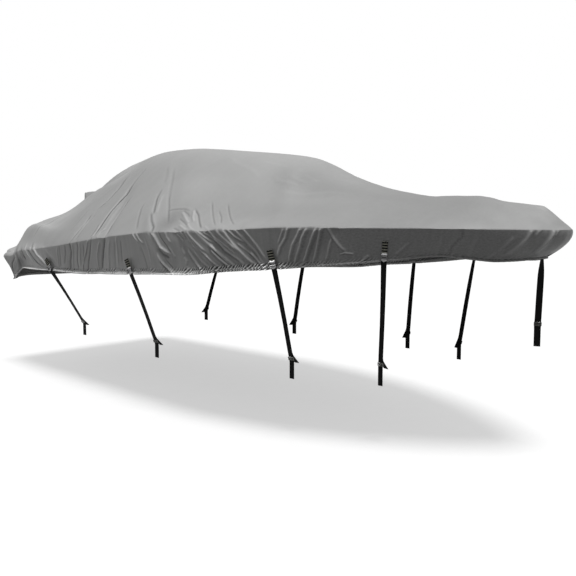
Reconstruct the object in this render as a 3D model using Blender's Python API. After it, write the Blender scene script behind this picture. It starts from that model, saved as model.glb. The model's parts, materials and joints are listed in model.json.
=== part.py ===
"""Fitted cover for a six-metre trailer boat: one hollow cloth shell and its nine tie-down straps.

Metres, +X to the bow, +Y to port, +Z up. The origin is under the highest point of the cover's
ridge, where the boat's support pole carries the cloth. Heights in the tables are above the ground.
"""
import math

import bpy
import numpy as np
from mathutils import Vector
from mathutils.bvhtree import BVHTree

# ---- driving dimensions ----------------------------------------------------------------------
PEAK_HEIGHT = 2.530          # highest point of the ridge above the ground
CLOTH = 0.003                # thickness of the coated polyester shell
GAP = 0.0003                 # clearance between pieces that touch
HALF_COLUMNS = 64            # cloth columns from the middle of the transom to the nose, one side
CLOSE_TO = 5.8               # the columns stand closer from the transom to here
CLOSE_PACE = 1.5
SKIRT_ROWS = (-1.0, -0.86, -0.58, -0.30, -0.07)
TOP_ROWS = (0.0, 0.06, 0.13, 0.21, 0.30, 0.40, 0.50, 0.61, 0.73, 0.86, 1.0)

WEBBING_WIDTH = 0.038
WEBBING_THICKNESS = 0.0018
TAB_WIDTH = 0.044
TAB_LENGTH = 0.090           # banded tab sewn up the skirt
TAB_THICKNESS = 0.0020
TAB_BAR_THICKNESS = 0.0045
TAB_BARS = 4
TAB_LAP = 0.012              # plain end of the tab that lies under the buckle
BUCKLE_LENGTH = 0.064
BUCKLE_WIDTH = 0.050
STRAP_LAP = 0.026            # strap that lies under the buckle
SLIDER_LENGTH = 0.026
SLIDER_WIDTH = 0.046
RAIL_FACE = 0.130            # strap that lies down the face of the trailer's rail
RETURN_LENGTH = 0.115        # leg of the strap that turns behind the rail
FLAT_END = 0.090             # straight stretch above the rail that carries the slider
STRAP_SAG = 0.005

# Buckle from its top edge to its nose: place along it, share of the full width, thickness.
BUCKLE_SECTIONS = (
    # place  width  thickness
    (0.000, 0.86, 0.0050),
    (0.003, 0.96, 0.0085),
    (0.009, 0.96, 0.0085),
    (0.011, 0.96, 0.0045),
    (0.019, 1.00, 0.0045),
    (0.021, 1.00, 0.0090),
    (0.028, 1.00, 0.0090),
    (0.030, 0.92, 0.0050),
    (0.037, 0.92, 0.0050),
    (0.040, 1.00, 0.0100),
    (0.052, 0.94, 0.0100),
    (0.059, 0.62, 0.0085),
    (0.064, 0.22, 0.0050),
)

# Ridge of the cover, from the hooded corner at the transom to the foredeck.
#        x       height
RIDGE = (
    (-1.620, 2.180),
    (-1.400, 2.275),
    (-1.050, 2.380),
    (-0.600, 2.470),
    (0.000, 2.530),
    (0.470, 2.508),
    (0.900, 2.453),
    (1.350, 2.382),
    (1.850, 2.300),
    (2.150, 2.237),
    (2.330, 2.165),
    (2.560, 2.040),
    (2.800, 1.945),
    (3.050, 1.879),
    (3.400, 1.810),
    (3.680, 1.798),
    (3.860, 1.750),
    (4.120, 1.708),
)

# Ribs of the starboard half, from the middle of the transom round to the nose.
# crease_x, half_beam, crease_h: the gunwale edge.  hem_in, hem_h: the hem inside and below it.
# ridge_x: where the rib meets the ridge.  shoulder: rise just inside the gunwale.
# crown: 1 is a straight slope, more is rounder and less hangs slack.
# hump, hump_w: share and half width of the raised middle over the windscreen.
RIBS = (
    # crease_x  half_beam crease_h hem_in hem_h  ridge_x shoulder crown hump  hump_w
    (-1.840, 0.000, 1.380, 0.060, 1.090, -1.620, 0.020, 0.60, 0.00, 1.00),
    (-1.840, 0.400, 1.380, 0.060, 1.090, -1.450, 0.020, 0.50, 0.00, 1.00),
    (-1.840, 0.800, 1.385, 0.070, 1.090, -1.200, 0.020, 0.40, 0.00, 1.00),
    (-1.820, 1.060, 1.400, 0.120, 1.080, -1.000, 0.000, 0.40, 0.00, 1.00),
    (-1.700, 1.190, 1.390, 0.105, 1.055, -0.860, 0.000, 0.45, 0.00, 1.00),
    (-1.530, 1.200, 1.380, 0.065, 1.090, -0.800, 0.000, 0.45, 0.00, 1.00),
    (-1.420, 1.222, 1.412, 0.045, 1.112, -0.740, 0.250, 0.62, 0.00, 1.00),
    (-1.200, 1.220, 1.430, 0.055, 1.202, -0.620, 0.220, 0.70, 0.00, 1.00),
    (-0.700, 1.220, 1.437, 0.060, 1.194, -0.380, 0.090, 0.95, 0.00, 1.00),
    (0.000, 1.220, 1.484, 0.060, 1.175, 0.060, 0.020, 1.15, 0.00, 1.00),
    (0.700, 1.220, 1.536, 0.060, 1.190, 0.700, 0.000, 1.25, 0.00, 1.00),
    (1.300, 1.217, 1.560, 0.060, 1.207, 1.300, 0.000, 1.30, 0.10, 0.95),
    (1.800, 1.190, 1.564, 0.060, 1.222, 1.800, 0.000, 1.35, 0.35, 0.90),
    (2.200, 1.135, 1.568, 0.060, 1.254, 2.200, 0.000, 1.45, 0.50, 0.85),
    (2.600, 1.050, 1.574, 0.060, 1.280, 2.600, 0.000, 1.60, 0.35, 0.80),
    (3.000, 0.928, 1.570, 0.060, 1.304, 2.980, 0.000, 1.70, 0.15, 0.80),
    (3.400, 0.760, 1.562, 0.070, 1.320, 3.350, 0.000, 1.70, 0.10, 0.80),
    (3.700, 0.596, 1.555, 0.085, 1.358, 3.620, 0.000, 1.70, 0.10, 0.80),
    (4.000, 0.387, 1.548, 0.110, 1.342, 3.860, 0.000, 1.60, 0.00, 1.00),
    (4.200, 0.200, 1.547, 0.140, 1.357, 4.020, 0.000, 1.40, 0.00, 1.00),
    (4.300, 0.060, 1.549, 0.165, 1.369, 4.100, 0.000, 1.20, 0.00, 1.00),
    (4.310, 0.000, 1.550, 0.170, 1.370, 4.120, 0.000, 1.10, 0.00, 1.00),
)

HOOD_HALF_WIDTH = 0.20       # squared hood over the engine, at the transom's middle
HOOD_FRONT = -1.25
HOOD_BACK = -1.66
HOOD_HEIGHT = 2.160
HOOD_SOFTNESS = 0.02
CREST = 0.06                 # rounding of the ridge, as a share of the half width
SLACK = 0.40                 # how far a slope with a crown under 1 hangs below straight
SHOULDER_END = 0.65          # share of the way to the ridge where the shoulder has died away
SHOULDER_RISE = 2.35
SHOULDER_POWER = 0.65

# Long folds of the cloth. s: metres along the gunwale from the transom's middle, read at the
# fold's upper end, at the gunwale and at its lower end. v: 1 at the ridge, 0 at the gunwale,
# -1 at the hem. A positive height is a ridge, a negative one a trough.
FOLDS = (
    # s_high v_high s_edge s_low  v_low  width  height
    (1.22, 0.30, 1.18, 1.16, -1.00, 0.110, 0.030),
    (1.48, 0.30, 1.50, 1.50, -0.95, 0.060, -0.022),
    (1.98, 0.10, 2.02, 2.32, -0.92, 0.060, 0.012),
    (2.20, 0.10, 2.28, 2.46, -0.92, 0.060, -0.010),
    (1.79, 0.93, 2.90, 2.90, -0.15, 0.080, 0.010),
    (2.76, 0.74, 2.90, 2.80, -1.00, 0.085, -0.012),
    (3.06, 0.55, 3.34, 3.12, -1.00, 0.075, 0.014),
    (3.14, 0.50, 3.56, 3.42, -1.00, 0.070, -0.013),
    (3.52, 0.75, 4.52, 4.60, -0.20, 0.080, -0.012),
    (3.80, 0.42, 4.28, 4.52, -0.98, 0.075, 0.018),
    (4.40, 0.28, 4.62, 4.85, -0.85, 0.065, -0.014),
    (4.58, 0.26, 4.78, 5.12, -0.92, 0.060, 0.015),
    (4.70, 0.30, 4.95, 5.26, -0.92, 0.060, -0.014),
    (4.86, 0.30, 5.10, 5.38, -0.92, 0.060, 0.014),
    (5.25, 0.06, 5.27, 5.47, -0.90, 0.055, -0.012),
    (5.98, 0.05, 5.90, 5.66, -0.90, 0.060, 0.012),
    (6.28, 0.04, 6.06, 5.84, -0.85, 0.060, -0.010),
    (5.10, 0.75, 5.60, 5.65, -0.05, 0.100, 0.010),
)

# Tie-down straps of one side. s_top, s_hem: the tab's ends along the gunwale.
# foot_x, foot_y, foot_h: where the strap meets the upper edge of the trailer's rail.
STRAPS = (
    # name s_top  s_hem  foot_x foot_y foot_h
    ("1", 2.33, 2.40, -0.44, 0.87, 0.590),
    ("2", 3.90, 3.95, 1.06, 0.96, 0.548),
    ("3", 5.53, 5.55, 2.63, 0.85, 0.580),
    ("4", 6.39, 6.38, 3.265, 0.625, 0.590),
)
BOW_STRAP_FOOT = (4.115, 0.890)   # x and height
BOW_STRAP_INBOARD = (-0.35, 0.94, 0.0)


# ---- interpolation -----------------------------------------------------------------------------
def smooth_curve(knots, values, where):
    """Cubic through the knots with no overshoot (harmonic-mean slopes)."""
    knots = np.asarray(knots, float)
    values = np.asarray(values, float)
    step = np.diff(knots)
    slope = np.diff(values) / step
    tangent = np.zeros(len(knots))
    tangent[0] = slope[0]
    tangent[-1] = slope[-1]
    for i in range(1, len(knots) - 1):
        if slope[i - 1] * slope[i] > 0.0:
            tangent[i] = 2.0 * slope[i - 1] * slope[i] / (slope[i - 1] + slope[i])
    where = np.clip(np.asarray(where, float), knots[0], knots[-1])
    cell = np.clip(np.searchsorted(knots, where, side="right") - 1, 0, len(step) - 1)
    q = (where - knots[cell]) / step[cell]
    start = values[cell] * (1 + 2 * q) * (1 - q) ** 2 + tangent[cell] * step[cell] * q * (1 - q) ** 2
    end = values[cell + 1] * q * q * (3 - 2 * q) + tangent[cell + 1] * step[cell] * q * q * (q - 1)
    return start + end


def smoothstep(edge0, edge1, value):
    q = np.clip((value - edge0) / (edge1 - edge0), 0.0, 1.0)
    return q * q * (3.0 - 2.0 * q)


# ---- the cloth -----------------------------------------------------------------------------------
RIB_NAMES = ("crease_x", "half_beam", "crease_h", "hem_in", "hem_h", "ridge_x",
             "shoulder", "crown", "hump", "hump_w")
RIB_KNOTS = np.arange(len(RIBS))


def gunwale_lengths():
    """Rib positions measured in metres along the gunwale edge from the transom's middle."""
    fine = np.linspace(0.0, len(RIBS) - 1.0, 40 * len(RIBS))
    x = smooth_curve(RIB_KNOTS, [rib[0] for rib in RIBS], fine)
    y = smooth_curve(RIB_KNOTS, [rib[1] for rib in RIBS], fine)
    length = np.concatenate(([0.0], np.cumsum(np.hypot(np.diff(x), np.diff(y)))))
    return fine, length


FINE_RIB, FINE_LENGTH = gunwale_lengths()
HALF_LENGTH = FINE_LENGTH[-1]


def rib_at(s):
    """All rib columns at distances s along the gunwale, as a dict of arrays."""
    place = np.interp(s, FINE_LENGTH, FINE_RIB)
    return {name: smooth_curve(RIB_KNOTS, [rib[i] for rib in RIBS], place)
            for i, name in enumerate(RIB_NAMES)}


def ridge_height(x):
    return smooth_curve([row[0] for row in RIDGE], [row[1] for row in RIDGE], x)


def outward(s):
    """Plan direction square to the gunwale, pointing away from the boat."""
    ahead = rib_at(np.clip(s + 0.02, 0.0, HALF_LENGTH))
    behind = rib_at(np.clip(s - 0.02, 0.0, HALF_LENGTH))
    along_x = ahead["crease_x"] - behind["crease_x"]
    along_y = ahead["half_beam"] - behind["half_beam"]
    along = np.hypot(along_x, along_y)
    return -along_y / along, along_x / along


def smooth_cloth(s, v):
    """Cloth without folds on the half where y is positive; s and v are arrays of one shape."""
    rib = rib_at(s)
    out_x, out_y = outward(s)
    middle = (s < 1e-6) | (s > HALF_LENGTH - 1e-6)
    out_y = np.where(middle, 0.0, out_y)
    out_x = np.where(middle, np.sign(out_x), out_x)
    top = np.clip(v, 0.0, 1.0)
    skirt = np.clip(-v, 0.0, 1.0)
    across = 1.0 - top
    x = rib["ridge_x"] + (rib["crease_x"] - rib["ridge_x"]) * across
    y = rib["half_beam"] * across
    rise = ridge_height(rib["ridge_x"]) - rib["crease_h"]
    from_crest = (np.sqrt(across ** 2 + CREST ** 2) - CREST) / (math.sqrt(1 + CREST ** 2) - CREST)
    slope = 1.0 - from_crest ** np.maximum(rib["crown"], 1.0)
    slope = slope - SLACK * np.maximum(1.0 - rib["crown"], 0.0) * np.sin(np.pi * from_crest)
    bell = np.clip(1.0 - (across / rib["hump_w"]) ** 2, 0.0, 1.0) ** 2
    step = np.clip(top / SHOULDER_END, 0.0, 1.0)
    shoulder = SHOULDER_RISE * step ** SHOULDER_POWER * (1.0 - step)
    height = rib["crease_h"] + rise * ((1.0 - rib["hump"]) * slope + rib["hump"] * bell)
    height = height + rib["shoulder"] * shoulder
    hood = hood_height(x, y)
    draped = 0.5 * (height + hood + np.sqrt((height - hood) ** 2 + HOOD_SOFTNESS ** 2))
    height = np.where(v > 0.0, draped, height)
    x = x - out_x * rib["hem_in"] * skirt
    y = y - out_y * rib["hem_in"] * skirt
    height = height + (rib["hem_h"] - rib["crease_h"]) * skirt
    return np.stack([x, y, height], axis=-1)


def hood_height(x, y):
    """Cloth drawn tight over the squared hood at the transom."""
    beyond = np.maximum(np.abs(y) - HOOD_HALF_WIDTH, 0.0)
    fore = smoothstep(HOOD_FRONT + 0.3, HOOD_FRONT, x)
    aft = np.maximum(HOOD_BACK - x, 0.0)
    return HOOD_HEIGHT * fore - 1.6 * beyond - 4.0 * aft


def fold_lift(s, v, folds):
    """Height of the folds at s, v: each is a soft ridge or trough that fades at both ends."""
    lift = np.zeros(np.shape(s))
    for s_high, v_high, s_edge, s_low, v_low, width, height in folds:
        course = np.interp(v, (v_low, 0.0, v_high), (s_low, s_edge, s_high))
        fade = smoothstep(v_high + 0.06, v_high - 0.12, v)
        if v_low > -0.99:
            fade = fade * smoothstep(v_low - 0.08, v_low + 0.25, v)
        lift = lift + height * fade * np.exp(-((s - course) / width) ** 2)
    return lift


def cloth_points(s, v, side):
    """Cloth points on one side (-1 starboard, +1 port), folds included, heights above ground."""
    reach = 0.01
    along = smooth_cloth(np.clip(s + reach, 0, HALF_LENGTH), v) - smooth_cloth(
        np.clip(s - reach, 0, HALF_LENGTH), v)
    across = smooth_cloth(s, np.clip(v + reach, -1, 1)) - smooth_cloth(s, np.clip(v - reach, -1, 1))
    normal = np.cross(across, along)
    size = np.linalg.norm(normal, axis=-1, keepdims=True)
    normal = normal / np.maximum(size, 1e-9)
    lift = fold_lift(s, v, FOLDS) * smoothstep(0.0, 0.25, s) * smoothstep(HALF_LENGTH, HALF_LENGTH - 0.1, s)
    lift = lift * smoothstep(1.0, 0.9, v)
    point = smooth_cloth(s, v) + normal * lift[..., None]
    point[..., 1] *= side
    return point


def to_part(point):
    """From heights above the ground to the part's frame, whose origin is under the ridge."""
    return np.asarray(point, float) - np.array([0.0, 0.0, PEAK_HEIGHT - CLOTH])


def column_places():
    """Distances along the gunwale of the cloth's columns, closer together amidships."""
    fine = np.linspace(0.0, HALF_LENGTH, 2000)
    pace = np.where(fine < CLOSE_TO, CLOSE_PACE, 1.0)
    count = np.concatenate(([0.0], np.cumsum(0.5 * (pace[1:] + pace[:-1]))))
    return np.interp(np.linspace(0.0, count[-1], HALF_COLUMNS + 1), count, fine)


def make_material(name, colour, roughness, metallic=0.0):
    material = bpy.data.materials.new(name)
    material.use_nodes = True
    shader = material.node_tree.nodes["Principled BSDF"]
    shader.inputs["Base Color"].default_value = (*colour, 1.0)
    shader.inputs["Roughness"].default_value = roughness
    shader.inputs["Metallic"].default_value = metallic
    material.diffuse_color = (*colour, 1.0)
    return material


def add_object(name, points, faces, material, smooth=False):
    mesh = bpy.data.meshes.new(name)
    mesh.from_pydata([tuple(p) for p in points], [], faces)
    mesh.materials.append(material)
    if smooth:
        mesh.shade_smooth()
    mesh.update()
    obj = bpy.data.objects.new(name, mesh)
    bpy.context.scene.collection.objects.link(obj)
    return obj


def build_cover(material):
    """Both halves of the cloth, joined along the ridge, the transom's middle and the nose."""
    rows = np.array(SKIRT_ROWS + TOP_ROWS)
    grid_s, grid_v = np.meshgrid(column_places(), rows)
    starboard = to_part(cloth_points(grid_s, grid_v, -1.0))
    port = to_part(cloth_points(grid_s, grid_v, 1.0))
    points = []
    index = {}

    def vertex(side, row, column):
        shared = row == len(rows) - 1 or column in (0, HALF_COLUMNS)
        key = (0 if shared else side, row, column)
        if key not in index:
            index[key] = len(points)
            place = (starboard if side < 0 else port)[row, column].copy()
            if shared:
                place[1] = 0.0
            points.append(place)
        return index[key]

    faces = []
    for side in (-1, 1):
        for row in range(len(rows) - 1):
            for column in range(HALF_COLUMNS):
                quad = [vertex(side, row, column), vertex(side, row, column + 1),
                        vertex(side, row + 1, column + 1), vertex(side, row + 1, column)]
                faces.append(quad if side < 0 else quad[::-1])
    cover = add_object("cover", points, faces, material, smooth=True)
    shell = cover.modifiers.new("thickness", "SOLIDIFY")
    shell.thickness = CLOTH
    shell.offset = -1.0
    shell.use_rim = True
    return cover


# ---- webbing and buckles ---------------------------------------------------------------------
def unit(vector):
    vector = np.asarray(vector, float)
    return vector / np.linalg.norm(vector)


def add_strip(name, sections, material):
    """Closed strip through flat sections: (middle of inner face, across, out, width, thickness).

    Its sides are triangles, because a twisting strip's four-sided faces aren't flat, and the
    inner and the outer face are cut along the same diagonal, so they stay one thickness apart.
    """
    points = []
    faces = []
    run = sections[-1][0] - sections[0][0]
    turn = 1.0 if np.dot(np.cross(sections[0][1], sections[0][2]), run) > 0.0 else -1.0
    for middle, across, out, width, thickness in sections:
        side = turn * across * width / 2.0
        points += [middle - side, middle + side, middle + side + out * thickness,
                   middle - side + out * thickness]
    for ring in range(len(sections) - 1):
        low = 4 * ring
        for edge in (0, 1, 3):
            beside = (edge + 1) % 4
            faces.append((low + edge, low + beside, low + 4 + beside))
            faces.append((low + edge, low + 4 + beside, low + 4 + edge))
        faces += [(low + 2, low + 3, low + 6), (low + 3, low + 7, low + 6)]
    last = 4 * (len(sections) - 1)
    faces += [(2, 1, 0), (3, 2, 0), (last, last + 1, last + 2), (last, last + 2, last + 3)]
    return add_object(name, points, faces, material)


def cloth_tree(cover):
    depsgraph = bpy.context.evaluated_depsgraph_get()
    return BVHTree.FromObject(cover, depsgraph)


def height_over_plane(tree, origin, across, down, out, width, length, sign):
    """Farthest that the cloth reaches past a plane, along out (sign 1) or against it (-1)."""
    reach = 0.2
    farthest = -reach
    for along in np.linspace(0.0, length, 15):
        for offset in np.linspace(-width / 2.0, width / 2.0, 9):
            foot = origin + down * along + across * offset
            hit = tree.ray_cast(Vector(foot + sign * out * reach), Vector(-sign * out), 2 * reach)
            if hit[0] is not None:
                farthest = max(farthest, reach - hit[3])
    return farthest


def hang_straps(side_name, side, tree, black, grey):
    """The four tabs, buckles and straps of one side."""
    plane_length = TAB_LENGTH - TAB_LAP + BUCKLE_LENGTH
    for name, s_top, s_hem, foot_x, foot_y, foot_h in STRAPS:
        label = side_name + name
        hem = to_part(cloth_points(np.array([s_hem]), np.array([-1.0]), side))[0]
        high = to_part(cloth_points(np.array([s_top]), np.array([-0.5]), side))[0]
        down = unit(hem - high)
        fore = to_part(cloth_points(np.array([s_hem + 0.05]), np.array([-0.8]), side))[0]
        aft = to_part(cloth_points(np.array([s_hem - 0.05]), np.array([-0.8]), side))[0]
        across = unit(fore - aft)
        across = unit(across - down * np.dot(across, down))
        out = np.cross(across, down) * side
        if side < 0:
            across = -across
        origin = hem - down * plane_length
        stand = height_over_plane(tree, origin, across, down, out, BUCKLE_WIDTH, plane_length, 1) + GAP
        base = origin + out * stand
        add_strip("tab_" + label, tab_sections(base, across, down, out), black)
        under = TAB_THICKNESS + GAP
        start = base + down * (TAB_LENGTH - TAB_LAP) + out * under
        buckle = [(start + down * place, across, out, BUCKLE_WIDTH * share, thickness)
                  for place, share, thickness in BUCKLE_SECTIONS]
        add_strip("buckle_" + label, buckle, grey)
        top = base + out * (TAB_THICKNESS - WEBBING_THICKNESS)
        lap = top + down * (plane_length - STRAP_LAP)
        clear = top + down * (plane_length + 0.010)
        foot = to_part(np.array([foot_x, side * foot_y, foot_h]))
        inboard = np.array([0.0, -side, 0.0])
        add_tie(label, (lap, clear), out, foot, across, inboard, black, grey)


def tab_sections(base, across, down, out):
    """Banded tab: bars of webbing with thinner stitched lines between them."""
    barred = TAB_LENGTH - TAB_LAP
    pitch = barred / TAB_BARS
    bar = pitch * 0.58
    edge = 0.0012
    sections = []
    for number in range(TAB_BARS):
        begin = number * pitch
        for place, thickness in ((begin, TAB_THICKNESS), (begin + edge, TAB_BAR_THICKNESS),
                                 (begin + bar, TAB_BAR_THICKNESS), (begin + bar + edge, TAB_THICKNESS)):
            sections.append((base + down * place, across, out, TAB_WIDTH, thickness))
    sections.append((base + down * TAB_LENGTH, across, out, TAB_WIDTH, TAB_THICKNESS))
    return sections


def facing(side, run, toward):
    """Direction square to a strip's side and run, on the same hand as toward."""
    out = unit(np.cross(side, run))
    return out if np.dot(out, toward) > 0.0 else -out


def add_tie(label, head, outer, foot, across, inboard, black, grey):
    """One strap from its head to the rail, down the rail's face, its slider and return leg."""
    lap, clear = head
    width = WEBBING_WIDTH
    rail_across = unit(np.cross(np.array([0.0, 0.0, 1.0]), inboard))
    if np.dot(rail_across, across) < 0.0:
        rail_across = -rail_across
    route = [lap, clear]
    straight = 1.0 - FLAT_END / np.linalg.norm(foot - clear)
    for share in (0.06, 0.32 * straight, 0.66 * straight, straight):
        sag = STRAP_SAG * math.sin(math.pi * share / straight)
        route.append(clear + (foot - clear) * share + inboard * sag)
    route += [foot, foot - np.array([0.0, 0.0, RAIL_FACE * 0.5]),
              foot - np.array([0.0, 0.0, RAIL_FACE])]
    sections = []
    count = len(route)
    for number, place in enumerate(route):
        before = route[0 if number < 2 else number - 1]
        after = route[1 if number < 2 else min(number + 1, count - 1)]
        run = unit(after - before)
        turn = smoothstep(1.0, 4.0, float(number))
        side = across * (1.0 - turn) + rail_across * turn
        side = unit(side - run * np.dot(side, run))
        sections.append((place, side, facing(side, run, outer), width, WEBBING_THICKNESS))
        outer = sections[-1][2]
    add_strip("strap_" + label, sections, black)
    run = unit(foot - sections[-4][0])
    side = unit(rail_across - run * np.dot(rail_across, run))
    out = facing(side, run, outer)
    slide = foot - run * (SLIDER_LENGTH + 0.012) + out * (WEBBING_THICKNESS + GAP)
    bars = ((0.0, 0.0030), (0.002, 0.0052), (0.008, 0.0052), (0.010, 0.0030), (0.016, 0.0030),
            (0.018, 0.0052), (0.024, 0.0052), (SLIDER_LENGTH, 0.0030))
    slider = [(slide + run * place, side, out, SLIDER_WIDTH, thickness) for place, thickness in bars]
    add_strip("slider_" + label, slider, grey)
    lead = foot - run * 0.070 - out * (WEBBING_THICKNESS + GAP)
    bend = lead + run * 0.014
    low = unit(inboard * 0.70 + np.array([0.0, 0.0, -0.72]))
    leg = [(lead, side, out, width, WEBBING_THICKNESS), (bend, side, out, width, WEBBING_THICKNESS)]
    for reach in (0.35, 0.7, 1.0):
        place = bend + low * (RETURN_LENGTH - 0.014) * reach
        leg.append((place, side, facing(side, low, out), width, WEBBING_THICKNESS))
    add_strip("return_" + label, leg, black)


def hang_bow_strap(tree, black, grey):
    """The bow strap, sewn inside the hem under the nose."""
    edge = np.array([HALF_LENGTH])
    hem = to_part(cloth_points(edge, np.array([-1.0]), 1.0))[0]
    high = to_part(cloth_points(edge, np.array([-0.8]), 1.0))[0]
    hem[1] = 0.0
    high[1] = 0.0
    down = unit(hem - high)
    across = np.array([0.0, 1.0, 0.0])
    out = unit(np.cross(across, down))
    if out[0] < 0.0:
        out = -out
    lap = 0.035
    origin = hem - down * lap
    inside = height_over_plane(tree, origin, across, down, out, WEBBING_WIDTH, lap, -1) + GAP
    base = origin - out * (inside + WEBBING_THICKNESS)
    foot = to_part(np.array([BOW_STRAP_FOOT[0], 0.0, BOW_STRAP_FOOT[1]]))
    head = (base, base + down * (lap + 0.004))
    add_tie("bow", head, out, foot, across, np.array(BOW_STRAP_INBOARD), black, grey)


def main():
    for obj in list(bpy.data.objects):
        bpy.data.objects.remove(obj, do_unlink=True)
    cloth = make_material("grey_polyester", (0.30, 0.30, 0.31), 0.72)
    black = make_material("black_webbing", (0.012, 0.012, 0.012), 0.80)
    plastic = make_material("black_plastic", (0.020, 0.020, 0.022), 0.35)
    cover = build_cover(cloth)
    tree = cloth_tree(cover)
    hang_straps("s", -1.0, tree, black, plastic)
    hang_straps("p", 1.0, tree, black, plastic)
    hang_bow_strap(tree, black, plastic)


main()
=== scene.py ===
"""Looks of the fitted boat cover: woven cloth, its folds and hem, and its webbing and buckles.

Metres, in the part's frame: +X to the bow, +Y to port, +Z up. A place on the cloth is (s, v): s is
the distance along the gunwale from the middle of the transom to the nose, and v runs up the cloth,
from -1 at the hem through 0 at the gunwale to 1 at the ridge. A side is -1 starboard or 1 port.
"""

import json
import math
from contextlib import contextmanager

import bmesh
import bpy
import numpy as np
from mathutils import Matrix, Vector
from mathutils.bvhtree import BVHTree

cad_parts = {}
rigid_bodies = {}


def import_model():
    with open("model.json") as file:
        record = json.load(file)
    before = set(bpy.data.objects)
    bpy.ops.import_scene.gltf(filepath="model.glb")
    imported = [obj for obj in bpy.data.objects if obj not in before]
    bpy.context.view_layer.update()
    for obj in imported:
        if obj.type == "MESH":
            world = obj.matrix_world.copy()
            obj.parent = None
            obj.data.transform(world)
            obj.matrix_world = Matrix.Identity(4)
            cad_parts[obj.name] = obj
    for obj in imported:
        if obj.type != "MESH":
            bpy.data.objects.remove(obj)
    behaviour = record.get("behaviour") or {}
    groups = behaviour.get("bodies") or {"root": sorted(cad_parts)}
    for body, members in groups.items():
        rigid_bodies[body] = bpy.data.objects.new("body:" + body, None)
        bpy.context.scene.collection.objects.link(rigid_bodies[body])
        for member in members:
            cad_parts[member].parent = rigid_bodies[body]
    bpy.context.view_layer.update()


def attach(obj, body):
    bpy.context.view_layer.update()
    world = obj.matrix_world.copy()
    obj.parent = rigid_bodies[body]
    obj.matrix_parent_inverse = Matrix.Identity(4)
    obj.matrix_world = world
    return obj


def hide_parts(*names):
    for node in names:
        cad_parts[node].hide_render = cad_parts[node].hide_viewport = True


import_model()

# ---- shape of the cloth --------------------------------------------------------------------------
# As in the part's source, but for the swells beside the hood, a hood 25 mm narrower on each side
# with a slanted aft edge, a ridge 5 to 8 mm higher on the foredeck and a higher hem by the bow.
# Heights in this section are above the ground; the part's origin is just under the ridge.
PEAK_HEIGHT = 2.530
CLOTH = 0.003
FROM_GROUND = np.array([0.0, 0.0, PEAK_HEIGHT - CLOTH])
UP = np.array([0.0, 0.0, 1.0])
MM = 1000.0                  # millimetres in a metre
CREST = 0.06                 # share of the half width over which the ridge is rounded
SLACK = 0.40                 # how far a hollow flank hangs under the straight line
SHOULDER_END = 0.65
SHOULDER_RISE = 2.35
SHOULDER_POWER = 0.65
HOOD_HALF_WIDTH = 0.175
HOOD_FRONT = -1.25
HOOD_FADE = 0.3              # length over which the hood gives way to the tent
HOOD_BACK = -1.66
HOOD_HEIGHT = 2.160
HOOD_SOFTNESS = 0.010
HOOD_SIDE_SLOPE = 1.6
HOOD_AFT_SLOPE = 14.0
HOOD_CUT = 2.3               # the aft edge runs forward as it runs out
BESIDE_HOOD = 1.75           # s where the cloth beside the hood swells most
BESIDE_REACH = 0.55
SWELLS = ((0.63, 0.11, 0.085), (0.37, 0.13, -0.034), (0.095, 0.055, 0.060))  # v, reach, lift

RIDGE = (
    # x, height
    (-1.620, 2.180), (-1.400, 2.275), (-1.050, 2.380), (-0.600, 2.470), (0.000, 2.530),
    (0.470, 2.508), (0.900, 2.453), (1.350, 2.382), (1.850, 2.300), (2.150, 2.237),
    (2.330, 2.165), (2.560, 2.046), (2.800, 1.952), (3.050, 1.879), (3.400, 1.815),
    (3.680, 1.806), (3.860, 1.758), (4.120, 1.714),
)

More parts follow.
